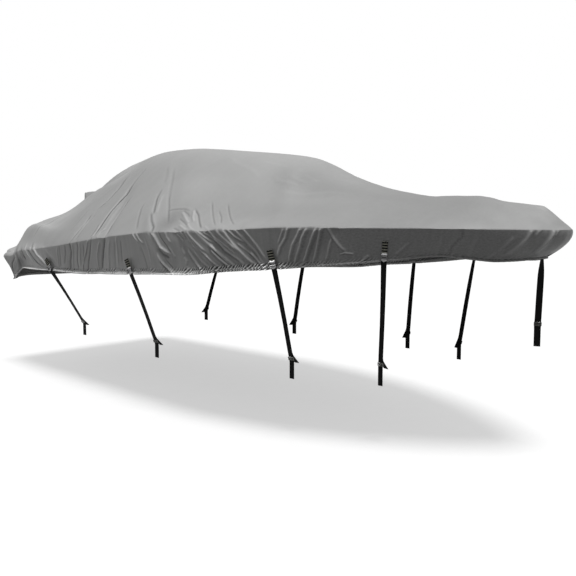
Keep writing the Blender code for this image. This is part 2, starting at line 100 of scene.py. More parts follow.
RIB_NAMES = ("crease_x", "half_beam", "crease_h", "hem_in", "hem_h", "ridge_x",
             "shoulder", "crown", "hump", "hump_w")
RIBS = (
    # in the order of RIB_NAMES
    # in the order of RIB_NAMES
    # in the order of RIB_NAMES
    # in the order of RIB_NAMES
    # in the order of RIB_NAMES
    (-1.84, 0.0, 1.38, 0.06, 1.09, -1.62, 0.02, 0.6, 0.0, 1.0),
    (-1.84, 0.4, 1.38, 0.06, 1.09, -1.45, 0.02, 0.5, 0.0, 1.0),
    (-1.84, 0.8, 1.385, 0.07, 1.09, -1.2, 0.02, 0.4, 0.0, 1.0),
    (-1.82, 1.06, 1.4, 0.12, 1.08, -1.0, 0.0, 0.4, 0.0, 1.0),
    (-1.7, 1.19, 1.39, 0.105, 1.055, -0.86, 0.0, 0.45, 0.0, 1.0),
    (-1.53, 1.2, 1.38, 0.065, 1.09, -0.8, 0.0, 0.45, 0.0, 1.0),
    (-1.42, 1.222, 1.412, 0.045, 1.112, -0.74, 0.25, 0.62, 0.0, 1.0),
    (-1.2, 1.22, 1.43, 0.055, 1.202, -0.62, 0.22, 0.7, 0.0, 1.0),
    (-0.7, 1.22, 1.437, 0.06, 1.194, -0.38, 0.09, 0.95, 0.0, 1.0),
    (0.0, 1.22, 1.484, 0.06, 1.175, 0.06, 0.02, 1.15, 0.0, 1.0),
    (0.7, 1.22, 1.536, 0.06, 1.19, 0.7, 0.0, 1.25, 0.0, 1.0),
    (1.3, 1.217, 1.56, 0.06, 1.207, 1.3, 0.0, 1.3, 0.1, 0.95),
    (1.8, 1.19, 1.564, 0.06, 1.222, 1.8, 0.0, 1.35, 0.35, 0.9),
    (2.2, 1.135, 1.568, 0.06, 1.254, 2.2, 0.0, 1.45, 0.5, 0.85),
    (2.6, 1.05, 1.574, 0.06, 1.28, 2.6, 0.0, 1.6, 0.35, 0.8),
    (3.0, 0.928, 1.57, 0.06, 1.308, 2.98, 0.0, 1.7, 0.15, 0.8),
    (3.4, 0.76, 1.562, 0.07, 1.344, 3.35, 0.0, 1.7, 0.1, 0.8),
    (3.7, 0.596, 1.555, 0.085, 1.374, 3.62, 0.0, 1.7, 0.1, 0.8),
    (4.0, 0.387, 1.548, 0.11, 1.342, 3.86, 0.0, 1.6, 0.0, 1.0),
    (4.2, 0.2, 1.547, 0.14, 1.357, 4.02, 0.0, 1.4, 0.0, 1.0),
    (4.3, 0.06, 1.549, 0.165, 1.369, 4.1, 0.0, 1.2, 0.0, 1.0),
    (4.31, 0.0, 1.55, 0.17, 1.37, 4.12, 0.0, 1.1, 0.0, 1.0),
)

# Broad folds, which the solid has too.
FOLDS = (
    # s_high v_high s_edge s_low  v_low  width  height
    (1.22, 0.30, 1.18, 1.16, -1.00, 0.110, 0.030),
    (1.48, 0.30, 1.50, 1.50, -0.95, 0.060, -0.022),
    (1.98, 0.10, 2.02, 2.32, -0.92, 0.060, 0.012),
    (2.20, 0.10, 2.28, 2.46, -0.92, 0.060, -0.010),
    (1.79, 0.93, 2.90, 2.90, -0.15, 0.080, 0.004),
    (2.76, 0.74, 2.90, 2.80, -1.00, 0.085, -0.012),
    (3.06, 0.55, 3.34, 3.12, -1.00, 0.075, 0.006),
    (3.14, 0.50, 3.56, 3.42, -1.00, 0.070, -0.013),
    (3.52, 0.75, 4.52, 4.60, -0.20, 0.080, -0.005),
    (4.00, 0.20, 4.28, 4.52, -0.98, 0.075, 0.014),
    (4.52, 0.10, 4.62, 4.85, -0.85, 0.065, -0.014),
    (4.70, 0.08, 4.78, 5.12, -0.92, 0.060, 0.015),
    (4.85, 0.10, 4.95, 5.26, -0.92, 0.060, -0.014),
    (5.00, 0.10, 5.10, 5.38, -0.92, 0.060, 0.014),
    (5.25, 0.06, 5.27, 5.47, -0.90, 0.055, -0.012),
    (5.98, 0.05, 5.90, 5.66, -0.90, 0.060, 0.012),
    (6.28, 0.04, 6.06, 5.84, -0.85, 0.060, -0.010),
    (5.10, 0.75, 5.60, 5.65, -0.05, 0.100, 0.010),
)

# Small folds. above, below, height: widths of the flank above and below the crest, and how high it
# stands, in millimetres; a groove has a negative height. pale: how strongly a highlight is painted
# on the crest and shade at its foot; where negative, how much shade is painted in the groove. Then
# the crest's points, each as s, v.
CREASES = (
    # above, below, height, pale, s, v, s, v, ...
    # fan of folds from the gunwale down to the third tab
    (6.8, 18, 9, 0.45, 4.63, 0.04, 4.71, -0.07, 4.76, -0.20),
    (5.9, 14, 7, 0.34, 4.63, -0.05, 4.68, -0.15, 4.72, -0.24),
    (6.8, 22, 8, 0.65, 4.67, 0.04, 4.76, -0.03, 4.79, -0.22, 4.87, -0.48),
    (6.8, 24, 8, 0.54, 4.74, 0.04, 4.81, -0.11, 4.89, -0.32, 4.97, -0.52),
    (7.6, 28, 7, 0.54, 4.77, 0.06, 4.89, -0.09, 5.05, -0.47, 5.20, -0.92),
    (6.8, 24, 9, 0.62, 4.96, 0.02, 5.07, -0.20, 5.16, -0.39, 5.25, -0.62),
    (11, 24, 12, 0.82, 5.02, -0.08, 5.14, -0.49, 5.27, -0.74, 5.33, -0.98),
    (10, 22, 9, 0.52, 5.05, 0.04, 5.11, -0.09, 5.21, -0.36, 5.28, -0.54),
    (6.8, 26, 8, 0.49, 5.10, 0.05, 5.23, -0.34, 5.35, -0.73, 5.45, -0.98),
    (6.8, 26, 10, 0.68, 5.20, 0.04, 5.33, -0.27, 5.42, -0.57, 5.49, -0.96),
    (6.8, 24, 9, 0.55, 5.29, 0.04, 5.36, -0.11, 5.43, -0.39, 5.52, -0.84),
    (6.8, 18, 9, 0.84, 5.36, -0.52, 5.43, -0.78, 5.48, -0.98),
    (6.8, 22, 14, 1.04, 4.98, -0.26, 5.07, -0.50, 5.16, -0.74, 5.25, -0.95),
    (5.9, 20, 13, 1.09, 5.00, -0.42, 5.08, -0.66, 5.18, -0.92),
    (6.8, 22, 11, 0.85, 4.88, -0.40, 4.95, -0.56, 5.03, -0.79, 5.10, -0.95),
    (5.9, 20, 12, 0.88, 4.81, -0.42, 4.89, -0.69, 4.98, -0.90),
    (6.8, 22, 15, 1.17, 4.73, -0.36, 4.80, -0.64, 4.91, -0.99),
    (14, 14, 6, 0.34, 4.68, -0.36, 4.69, -0.46, 4.71, -0.56),
    (14, 14, 6, 0.34, 4.69, -0.60, 4.72, -0.69, 4.72, -0.80),
    (14, 14, 6, 0.34, 4.71, -0.82, 4.75, -0.90, 4.78, -0.98),
    (6, 13, 7, 0.60, 4.84, 0.02, 4.95, -0.16, 5.04, -0.32),
    (6, 13, 7, 0.60, 5.15, 0.03, 5.24, -0.16, 5.33, -0.34),
    (6, 13, 6, 0.45, 5.25, -0.30, 5.34, -0.52, 5.42, -0.72),
    (6, 13, 6, 0.50, 4.92, -0.02, 5.00, -0.14, 5.08, -0.28),
    # bunched cloth above the gunwale
    (8, 8, -6, -0.55, 4.54, 0.235, 4.66, 0.18, 4.75, 0.12, 4.89, 0.03),
    (9, 9, -4, -0.30, 4.43, 0.205, 4.53, 0.18, 4.60, 0.15),
    (8, 8, -5, -0.40, 4.49, 0.135, 4.60, 0.10, 4.70, 0.06),
    (7, 7, -3, -0.38, 4.64, 0.32, 4.79, 0.21, 4.89, 0.14, 5.02, 0.05),
    (11, 11, 5, 0.26, 4.55, 0.22, 4.62, 0.16, 4.70, 0.11),
    (11, 11, 5, 0.26, 4.44, 0.19, 4.58, 0.13, 4.67, 0.09),
    (9, 10, 5, 0.30, 4.56, 0.08, 4.69, 0.03, 4.78, -0.01),
    (9, 10, 5, 0.28, 4.65, 0.09, 4.79, 0.02, 4.86, -0.01),
    (8, 8, -4, -0.35, 4.53, 0.05, 4.61, 0.03, 4.69, 0.00),
    (10, 10, 3, 0.16, 4.86, 0.08, 4.95, 0.03, 5.00, 0.00),
    (7, 7, -3, -0.35, 4.81, 0.25, 4.91, 0.19, 5.03, 0.09),
    (7, 7, -3, -0.38, 4.83, 0.32, 4.95, 0.23, 5.08, 0.14, 5.19, 0.06),
    (12, 20, 1, 0.05, 4.20, 0.205, 4.32, 0.22, 4.44, 0.23, 4.58, 0.21),
    (8, 8, -3, -0.22, 4.22, 0.190, 4.33, 0.205, 4.44, 0.215, 4.54, 0.20),
    # faint creases across the flank of the peak
    (26, 20, 1, 0.06, 4.22, 0.80, 4.45, 0.70, 4.72, 0.635, 4.95, 0.55),
    (20, 16, 1, 0.06, 4.75, 0.75, 4.95, 0.715, 5.10, 0.70),
    (18, 16, 1, 0.06, 5.03, 0.575, 5.17, 0.56, 5.34, 0.56),
    (18, 16, 1, 0.06, 5.19, 0.62, 5.32, 0.61, 5.41, 0.60),
    (18, 16, 1, 0.05, 5.27, 0.67, 5.38, 0.665, 5.46, 0.65),
    (16, 16, -1, -0.04, 5.00, 0.60, 5.10, 0.55, 5.22, 0.525),
    (16, 16, -1, -0.04, 5.15, 0.61, 5.25, 0.59, 5.36, 0.58),
    (20, 60, 2, 0.05, 5.20, 0.46, 5.45, 0.49, 5.66, 0.56, 5.84, 0.58),
    # long seam from the peak to the gunwale, and its neighbours
    (10, 10, -4, -0.36, 3.59, 0.656, 3.85, 0.475, 4.11, 0.281, 4.46, 0.06),
    (12, 12, -3, -0.17, 3.49, 0.650, 3.66, 0.538, 3.80, 0.430),
    (10, 10, -6, -0.58, 3.82, 0.400, 3.92, 0.288, 4.00, 0.225, 4.12, 0.14),
    (14, 14, 4, 0.12, 3.93, 0.340, 4.03, 0.240, 4.14, 0.150),
    (10, 10, -4, -0.54, 4.02, 0.180, 4.18, 0.094, 4.30, 0.038, 4.40, -0.17),
    (10, 10, -4, -0.34, 3.77, 0.270, 3.81, 0.206, 3.92, 0.12, 4.07, 0.02),
    # leaf-shaped folds below the windscreen's foot
    (16, 10, 14, 0.70, 4.30, 0.03, 4.38, -0.12, 4.43, -0.36, 4.56, -0.56),
    (15, 10, 14, 0.75, 4.37, -0.46, 4.42, -0.70, 4.49, -0.87, 4.58, -1.02),
    (8, 8, -6, -0.45, 4.41, 0.02, 4.44, -0.12, 4.50, -0.32, 4.57, -0.55),
    (7, 7, -4, -0.32, 4.46, -0.60, 4.51, -0.75, 4.56, -0.92),
    (16, 16, -6, -0.60, 4.39, -0.36, 4.45, -0.52, 4.53, -0.62),
    (18, 18, -8, -0.95, 4.39, -0.66, 4.43, -0.80, 4.49, -0.93),
    (12, 20, 5, 0.15, 4.28, 0.03, 4.33, -0.19, 4.38, -0.40, 4.40, -0.56),
    (8, 14, 6, 0.24, 4.49, 0.04, 4.52, -0.13, 4.57, -0.28),
    (9, 14, 5, 0.17, 4.52, -0.30, 4.55, -0.45, 4.60, -0.62),
    # steep folds forward of the third tab
    (12, 16, 12, 0.74, 5.72, 0.04, 5.68, -0.24, 5.63, -0.46, 5.59, -0.76),
    (7, 16, 9, 0.60, 5.67, 0.00, 5.64, -0.22, 5.61, -0.42),
    (9, 22, 12, 0.65, 5.82, 0.03, 5.77, -0.21, 5.73, -0.42, 5.68, -0.95),
    (9, 22, 12, 0.71, 5.87, 0.03, 5.81, -0.25, 5.79, -0.46, 5.72, -0.98),
    (9, 24, 14, 0.91, 5.93, 0.02, 5.89, -0.21, 5.85, -0.50, 5.79, -0.96),
    (9, 22, 13, 0.71, 5.96, 0.03, 5.93, -0.27, 5.91, -0.51, 5.87, -0.96),
    (8, 18, 8, 0.43, 6.02, -0.25, 6.00, -0.51, 5.97, -0.92),
    (12, 12, 7, 0.40, 5.99, 0.02, 6.03, -0.24, 6.08, -0.50, 6.13, -0.68),
    (8, 10, 5, 0.67, 6.07, -0.72, 6.11, -0.68, 6.18, -0.72),
    # bow
    (12, 20, 8, 0.25, 6.56, -0.40, 6.50, -0.65, 6.45, -0.85),
    (12, 18, 8, 0.25, 6.28, -0.76, 6.22, -0.98),
    (12, 20, 5, 0.12, 6.76, -0.20, 6.74, -0.71, 6.73, -1.00),
    (12, 18, -6, -0.22, 6.88, 0.02, 6.89, -0.24, 6.83, -0.60, 6.81, -1.00),
    (14, 22, 5, 0.12, 6.98, -0.22, 6.95, -0.68, 6.94, -1.00),
    (12, 22, 7, 0.20, 7.22, -0.16, 7.14, -0.56, 7.05, -0.98),
    (12, 22, 12, 0.45, 7.33, 0.04, 7.29, -0.27, 7.23, -0.57, 7.16, -0.84),
    (10, 16, 7, 0.30, 7.38, 0.02, 7.34, -0.20),
    (11, 20, 15, 0.70, 7.48, 0.04, 7.45, -0.23, 7.41, -0.57, 7.36, -0.88),
    (9, 16, 10, 0.45, 7.51, 0.03, 7.47, -0.22),
    # long folds from the peak down over the gunwale, amidships
    (11, 12, -9, -1.14, 3.12, 0.500, 3.21, 0.388, 3.25, 0.22, 3.37, -0.01),
    (14, 14, -4, -0.31, 3.00, 0.700, 3.10, 0.544, 3.17, 0.42),
    (10, 12, -9, -0.84, 3.40, 0.34, 3.43, 0.213, 3.49, 0.10, 3.57, -0.01),
    (16, 16, 3, 0.08, 3.29, 0.32, 3.34, 0.18, 3.42, 0.06, 3.45, -0.06),
    (12, 14, -6, -0.66, 2.60, 0.681, 2.79, 0.500, 2.84, 0.37, 2.80, 0.26),
    (16, 18, 3, 0.06, 2.82, 0.560, 2.88, 0.420, 2.91, 0.330, 2.88, 0.24),
    (10, 12, -7, -0.70, 2.80, 0.240, 2.86, 0.150, 2.88, 0.07, 2.91, -0.01),
    (9, 10, -5, -0.50, 2.90, 0.240, 2.94, 0.150, 2.98, 0.07, 3.02, -0.01),
    (10, 12, 5, 0.20, 2.85, 0.22, 2.90, 0.110, 2.94, 0.030, 2.97, -0.05),
    (9, 9, -5, -0.48, 3.24, 0.120, 3.28, 0.060, 3.30, -0.01),
    (10, 12, 6, 0.32, 3.29, 0.110, 3.33, 0.050, 3.35, -0.02),
    (10, 12, 6, 0.30, 3.44, 0.080, 3.42, 0.040, 3.43, -0.02),
    (30, 30, -5, -0.14, 2.20, 0.88, 1.75, 0.84, 1.50, 0.80, 1.25, 0.80),
    (12, 14, -3, -0.19, 2.62, 0.300, 2.68, 0.180, 2.72, 0.06),
    # hanging folds of the skirt, amidships
    (10, 14, -12, -0.71, 2.89, 0.03, 2.88, -0.30, 2.82, -0.59, 2.77, -1.00),
    (10, 14, 8, 0.31, 2.96, 0.02, 2.94, -0.30, 2.89, -0.59, 2.84, -1.00),
    (10, 14, -6, -0.34, 2.80, 0.00, 2.77, -0.28, 2.70, -0.75),
    (11, 13, -8, -0.51, 3.06, 0.02, 3.05, -0.20, 2.99, -0.60, 2.96, -1.00),
    (9, 16, 13, 0.77, 3.30, 0.02, 3.21, -0.34, 3.12, -0.61, 3.05, -0.95),
    (11, 14, -9, -0.51, 3.36, 0.02, 3.29, -0.30, 3.22, -0.62, 3.16, -1.00),
    (11, 16, -13, -0.77, 3.57, 0.02, 3.49, -0.39, 3.45, -0.64, 3.40, -1.00),
    (10, 14, 9, 0.34, 3.48, -0.05, 3.40, -0.45, 3.36, -1.00),
    (11, 16, 7, 0.24, 3.66, -0.05, 3.60, -0.45, 3.56, -1.00),
    (12, 16, -6, -0.24, 3.74, -0.10, 3.70, -0.50, 3.68, -1.00),
    (8, 13, 10, 1.02, 4.02, 0.03, 4.08, -0.12, 4.13, -0.24),
    (8, 13, 9, 0.85, 4.09, 0.02, 4.14, -0.14, 4.20, -0.27),
    (10, 14, 6, 0.34, 4.22, -0.10, 4.25, -0.40, 4.26, -0.80),
    (12, 16, -6, -0.27, 4.14, -0.30, 4.17, -0.60, 4.20, -1.00),
    (10, 14, 7, 0.35, 3.78, 0.01, 3.76, -0.35, 3.73, -0.80),
    (10, 13, -6, -0.35, 3.84, -0.10, 3.82, -0.40, 3.80, -0.75),
    (9, 12, 6, 0.28, 2.62, -0.05, 2.58, -0.50, 2.55, -0.95),
    (9, 12, -6, -0.30, 2.68, 0.00, 2.64, -0.45, 2.60, -0.90),
    (9, 12, 7, 0.35, 3.12, 0.01, 3.08, -0.35, 3.02, -0.85),
    (8, 12, -7, -0.40, 3.18, -0.05, 3.14, -0.40, 3.08, -0.90),
    # stern corner
    (8, 10, 8, 0.62, 1.97, 0.05, 2.05, -0.36, 2.11, -0.61, 2.21, -0.88),
    (13, 13, -10, -1.25, 2.02, 0.02, 2.09, -0.32, 2.17, -0.60, 2.27, -0.88),
    (11, 12, 9, 0.62, 2.06, 0.04, 2.14, -0.29, 2.24, -0.57, 2.33, -0.88),
    (14, 14, -12, -1.25, 1.90, -0.02, 1.97, -0.40, 2.05, -0.68, 2.16, -0.92),
    (11, 12, 9, 0.62, 1.82, 0.04, 1.89, -0.34, 1.95, -0.57, 2.03, -0.80),
    (14, 14, -10, -1.05, 1.74, -0.02, 1.76, -0.39, 1.80, -0.62),
    (12, 14, 8, 0.50, 1.68, 0.00, 1.69, -0.35, 1.73, -0.60),
    (11, 11, -7, -0.50, 1.82, 0.50, 1.90, 0.22, 1.96, 0.00),
    (12, 12, 4, 0.14, 1.94, 0.38, 1.99, 0.20, 2.03, 0.06),
    (16, 18, -6, -0.20, 1.62, 0.02, 1.62, -0.40, 1.64, -0.85),
    (13, 15, -14, -0.85, 1.46, 0.08, 1.49, -0.20, 1.35, -0.42, 1.26, -0.85),
    (24, 30, 6, 0.10, 0.95, 0.02, 1.00, -0.40, 1.02, -0.90),
    (24, 30, -6, -0.10, 0.70, 0.05, 0.73, -0.40, 0.72, -0.95),
    (24, 30, 7, 0.10, 0.42, 0.03, 0.45, -0.45, 0.44, -0.95),
)

SKIRT_DEPTH = 0.37           # mean lengths of cloth below and above the gunwale
TOP_WIDTH = 1.35

STRAPS = (
    # s_top, s_hem, foot_x, foot_y, foot_h, tab_wide, strap_wide
    (2.33, 2.40, -0.44, 0.87, 0.590, 1.45, 1.60),
    (3.90, 3.95, 1.06, 0.96, 0.548, 1.35, 1.40),
    (5.545, 5.57, 2.63, 0.85, 0.580, 1.00, 1.08),
    (6.39, 6.38, 3.265, 0.625, 0.590, 0.76, 0.90),
)

# Painted highlight and painted shade over a small fold, in widths of its flanks.
CREST_PLACE = 0.30
CREST_WIDTH = 0.78
FOOT_PLACE = 0.90
FOOT_WIDTH = 0.60
CREST_SHADE = 0.40
GROOVE_WIDTH = 0.75
BRIM_PLACE = 2.0
BRIM_WIDTH = 0.8
GROOVE_LIGHT = 0.20

FOLD_HEAD = (0.06, -0.12)    # v past a broad fold's upper end between which it fades in
FOLD_FOOT = (-0.08, 0.25)    # and past its lower end
FADE_IN = (0.0, 0.18)        # a small fold's ends, in shares of its length
FADE_OUT = (1.0, 0.80)
BELOW_GUNWALE = (0.012, -0.020)  # metres up between which the skirt's folds start
PORT_SHIFT = 0.05            # metres by which the small folds wander to port
PORT_WIDER = 1.1

# ---- fine cloth ----------------------------------------------------------------------------------
HEM_TOP = -0.87              # v where the sewn hem begins
BOW_BELLY = 0.050            # how far the skirt bellies out at the nose
BELLY_START = 6.8            # s
STERN_BULGE = 0.034          # how far the cloth stands out around the transom's corner
BULGE_PLACE = (1.20, 0.32)   # its middle and reach along the gunwale
BULGE_HEIGHT = (-0.01, 0.13)  # and up from it
BULGE_LIFT = 0.8             # share of the bulge that lifts the cloth too,
BULGE_LIFTED = (-0.16, 0.02)  # from nothing to all between these metres up
REST_BESIDE = (0.055, 0.025)  # how far beside a tab the folds lie flatter, in metres,
REST_BELOW = (-0.40, -0.52)  # from which v down,
REST_SHARE = 0.8             # and by how much
RUFFLE_PITCH = 0.031
RUFFLE_HEIGHT = 0.0170
RUFFLE_LEAN = 0.85           # metres along the hem for each metre up
GATHER_FADE = (0.062, 0.040)  # metres up from the hem line between which the gathers fade out
LIP_HEIGHT = 0.030
PEAK_PAINTED_LIGHT = 0.14             # how much light is painted on the top of the peak
NORMAL_STEPS = (0.01, -0.01)
ROUNDING_STEPS = (0.35, 0.70, 1.05)  # shares of the bend's reach that are averaged
RIPPLE_SPAN = 2.2            # metres
RIPPLES = (
    # waves along and up in one span, phase, height
    (1.7, 2.3, 0.4, 0.0022),
    (3.1, -1.9, 1.7, 0.0016),
    (5.3, 3.7, 2.9, 0.0009),
    (8.9, -5.1, 4.2, 0.0006),
    (13.0, 2.2, 5.1, 0.0005),
)

# Each row below runs along the gunwale as (s, value) pairs.
# How strongly the hem's cord gathers the cloth, from 0 to 1.
GATHER = ((0.0, 0.5), (1.1, 0.6), (1.6, 0.25), (2.2, 0.45), (2.6, 0.75), (3.0, 1.00), (4.1, 1.00),
          (4.35, 0.30), (4.60, 0.40), (4.74, 1.0), (5.60, 1.0), (5.75, 0.50), (6.0, 0.28),
          (6.5, 0.14), (7.63, 0.08))
# How far the hem's edge stands out from the skirt, in metres.
FLARE = ((0.0, 0.008), (1.3, 0.018), (1.5, 0.034), (2.3, 0.034), (2.6, 0.026), (3.9, 0.026),
         (4.3, 0.034), (5.5, 0.034), (5.8, 0.014), (6.3, 0.006), (7.63, 0.004))
# How strongly highlight and shade are painted on the gathers, and highlight on the cord casing at
# the very edge.
GATHER_PAINTED_SHADING = ((1.0, 2.0), (1.8, 2.4), (2.6, 3.4), (4.6, 3.4), (4.75, 6.2), (5.6, 6.2), (5.8, 2.4))
CASING_PAINTED_HIGHLIGHT = ((0.0, 0.4), (1.3, 0.6), (1.5, 1.3), (2.4, 1.3), (2.7, 1.5), (4.2, 1.5), (4.4, 1.8),
              (4.75, 2.0), (4.9, 0.8), (5.5, 0.7), (5.8, 0.15), (7.63, 0.05))
# Light (positive) and shade (negative) painted on the cloth above the gunwale, and on the skirt.
TOP_PAINTED_SHADING = ((0.0, -0.04), (1.4, 0.14), (2.0, 0.12), (2.5, -0.06), (3.2, -0.05), (4.5, 0.00),
            (5.2, 0.00), (5.8, -0.11), (6.4, -0.20), (6.8, -0.18), (7.1, -0.08), (7.6, -0.04))
SKIRT_PAINTED_SHADING = ((0.0, 0.10), (1.0, 0.16), (1.5, 0.34), (2.1, 0.62), (2.5, 0.08), (3.6, 0.12),
              (4.4, 0.04), (5.0, -0.12), (5.6, -0.30), (6.2, -0.57), (7.2, -0.57), (7.6, -0.36))
# How far the bend over the gunwale reaches, in metres: wide aft, crisp forward; and its strength.
ROUNDING = ((0.0, 0.02), (0.7, 0.06), (0.95, 0.17), (1.35, 0.17), (1.8, 0.11), (2.3, 0.045),
            (3.2, 0.016), (4.1, 0.009), (7.6, 0.006))
ROUNDING_SHARE = ((0.7, 0.5), (1.0, 0.95), (1.7, 0.90), (2.2, 0.5))
# How close together the mesh's columns lie.
COLUMN_PACE = ((0.0, 2.0), (0.9, 2.0), (1.0, 1.2), (1.4, 1.3), (1.8, 2.8), (4.1, 3.0), (4.3, 4.2),
               (6.15, 4.2), (6.4, 1.4), (7.1, 1.2), (7.3, 2.0), (7.63, 2.0))

PAINTED_SHADING_PATCHES = (
    # patches of painted light and painted shade: s, v, reach along, reach up (in v), tone
    (5.32, 0.72, 0.24, 0.20, -0.12),
    (4.86, 0.60, 0.20, 0.20, 0.06),
    (7.02, 0.36, 0.34, 0.40, -0.08),
    (4.41, 0.10, 0.13, 0.12, -0.30),
    (5.25, 0.26, 0.45, 0.16, -0.10),
    (4.33, 0.44, 0.26, 0.13, 0.14),
    (5.70, 0.62, 0.45, 0.11, -0.07),
    (5.45, 0.43, 0.38, 0.08, 0.05),
    (1.60, -0.66, 0.21, 0.36, -1.25),
    (1.34, -0.86, 0.20, 0.36, -0.85),
    (4.47, -0.80, 0.09, 0.22, -0.22),
)

# The mesh: rows up the cloth, and columns along it, twice as many to starboard, where the small
# folds are.
WIDE_COLUMNS = 650
FINER = {-1: 2, 1: 1}
SIDE_NAMES = {-1: "starboard", 1: "port"}
SPLIT = -0.06                # v where the skirt's panel meets the band over the gunwale
BAND_TOP = 0.30              # v where that band meets the top panel
SKIRT_ROWS = np.linspace(HEM_TOP, SPLIT, 62)
BAND_ROWS = np.concatenate((np.linspace(SPLIT, 0.02, 10), np.linspace(0.026, BAND_TOP - 0.005, 46)))
WIDE_ROWS = np.concatenate(((BAND_TOP, BAND_TOP + 0.004, BAND_TOP + 0.010),
                            np.linspace(0.323, 0.95, 40), (0.965, 0.98, 0.992, 1.0)))
HEM_COLUMNS = 1500
HEM_ROWS = np.linspace(HEM_TOP + 0.012, -1.0, 9)
HEM_STAND = 0.0006           # how far the sewn hem lies off the skirt
HEM_ROLL = 0.0070            # radius of the cord casing at the very edge
HEM_TURN_PITCH = 0.004
HEM_TURN = (
    # out from the cloth and down from the hem line, in casing radii, and share of the hem's painted
    # light and shade
    (0.20, -1.20, 0.7),
    (0.80, -0.95, 1.0),
    (1.20, -0.35, 1.0),
    (1.20, 0.35, 0.8),
    (0.80, 0.95, 0.4),
    (0.10, 1.20, 0.1),
    (-0.65, 1.00, 0.0),
    (-1.10, 0.35, 0.0),
    (-1.15, -0.80, 0.0),
    (-1.10, -3.20, 0.0),
)

# ---- webbing and buckles -------------------------------------------------------------------------
# Thicknesses and lengths are the part's but for the tab's bars, 0.9 mm lower; widths are the
# photo's, and STRAPS widens them further towards the stern.
GAP = 0.0003
WEBBING_WIDTH = 0.043
WEBBING_THICKNESS = 0.0018
RIBBON_PACE = 0.006
SHARP_OVER = 32.0            # degrees between two faces over which their edge stays sharp
TAB_WIDTH = 0.049
TAB_LENGTH = 0.090
TAB_THICKNESS = 0.0020
TAB_STRIP = 0.96             # width of the plain strip under the bars
TAB_BARS = 4
TAB_BAR_THICKNESS = 0.0036
TAB_LOOP = 0.60              # share of the pitch that a bar takes up
TAB_LOOP_POWER = 0.7
TAB_LOOP_ENDS = ((-0.5, 0.45), (-0.485, 0.85), (-0.45, 1.0), (0.45, 1.0), (0.485, 0.85),
                 (0.5, 0.45))  # across, height
TAB_LAP = 0.012
BUCKLE_LENGTH = 0.064
BUCKLE_WIDTH = 0.054
STRAP_LAP = 0.026
SLIDER_LENGTH = 0.026
SLIDER_WIDTH = 0.050
SLIDER_ABOVE_RAIL = 0.012
RAIL_FACE = 0.130
RETURN_LENGTH = 0.115
RETURN_LEAD = 0.070          # where the return leg starts, above the strap's foot
RETURN_BEND = 0.014
FLAT_END = 0.090
STRAP_SAG = 0.005
BOW_STRAP_LAP = 0.035
BOW_STRAP_FOOT = np.array([4.115, 0.0, 0.890])
BOW_STRAP_INBOARD = np.array([-0.35, 0.94, 0.0])

# Sections of the buckle's mouldings, in shares of their length, width and height.
BAR_PROFILE = ((0.0, 0.0), (0.0, 0.10), (0.78, 0.97), (0.84, 1.0), (0.93, 0.96), (1.0, 0.80),
               (1.0, 0.0))
BAR_CHAMFER = 0.0016
BAR_END = 0.72
RAIL_PROFILE = ((-1.0, 0.0), (-1.0, 0.7), (-0.55, 1.0), (0.55, 1.0), (1.0, 0.7), (1.0, 0.0))
NOSE_PROFILE = ((-1.0, 0.0), (-1.0, 0.70), (-0.86, 0.96), (-0.02, 1.0), (0.02, 1.0),
                (0.86, 0.96), (1.0, 0.70), (1.0, 0.0))
NOSE_DIP = 0.006             # how far the middle of the nose lies below its sides
NOSE = (
    # place from the buckle's top, half width, height
    (0.0440, 0.0235, 0.0015),
    (0.0535, 0.0245, 0.0105),
    (0.0565, 0.0215, 0.0112),
    (0.0600, 0.0150, 0.0090),
    (0.0640, 0.0060, 0.0040),
)

# ---- camera, light and materials -----------------------------------------------------------------
CAMERA_PLACE = (5.387, -3.956, -1.089)
CAMERA_LENS = 35.0
CAMERA_PITCH = math.atan(41.0 / 560.0)  # pixels from the horizon to the middle / focal length
CAMERA_TURN = math.radians(48.0)
GROUND = -2.527
FLOOR_HALF = 60.0
WHITE = (1.0, 1.0, 1.0, 1.0)
WAVE_PERIOD = 0.314          # a wave texture repeats every 0.314 / scale
STITCH_ROW = 0.330           # metres below the gunwale
PALE_LINE = 0.0052           # half width of the paler line down the middle of the webbing
DARKEST = 0.22               # limits of the cloth's tone, where 1 is plain cloth
PALEST = 3.1


def smooth_curve(knots, values, where):
    """Cubic through the knots with no overshoot (harmonic-mean slopes)."""
    knots = np.asarray(knots, float)
    values = np.asarray(values, float)
    step = np.diff(knots)
    slope = np.diff(values) / step
    tangent = np.zeros(len(knots))
    tangent[0] = slope[0]
    tangent[-1] = slope[-1]
    for i in range(1, len(knots) - 1):
        if slope[i - 1] * slope[i] > 0.0:
            tangent[i] = 2.0 * slope[i - 1] * slope[i] / (slope[i - 1] + slope[i])
    where = np.clip(np.asarray(where, float), knots[0], knots[-1])
    cell = np.clip(np.searchsorted(knots, where, side="right") - 1, 0, len(step) - 1)
    q = (where - knots[cell]) / step[cell]
    leave = tangent[cell] * step[cell] * q * (1 - q) ** 2
    arrive = tangent[cell + 1] * step[cell] * q * q * (q - 1)
    start = values[cell] * (1 + 2 * q) * (1 - q) ** 2 + leave
    end = values[cell + 1] * q * q * (3 - 2 * q) + arrive
    return start + end


def smoothstep(edge0, edge1, value):
    q = np.clip((value - edge0) / (edge1 - edge0), 0.0, 1.0)
    return q * q * (3.0 - 2.0 * q)


def hill(value, middle, width):
    """Smooth hill of height 1 over the middle."""
    return np.exp(-((value - middle) / width) ** 2)


def between(s, knots):
    """Value at s between (s, value) pairs."""
    return np.interp(s, *zip(*knots))


def unit(vector):
    vector = np.asarray(vector, float)
    return vector / np.linalg.norm(vector)


def square_to(run, vector):
    """Unit direction of the part of a vector that is square to a run."""
    return unit(vector - run * np.dot(vector, run))


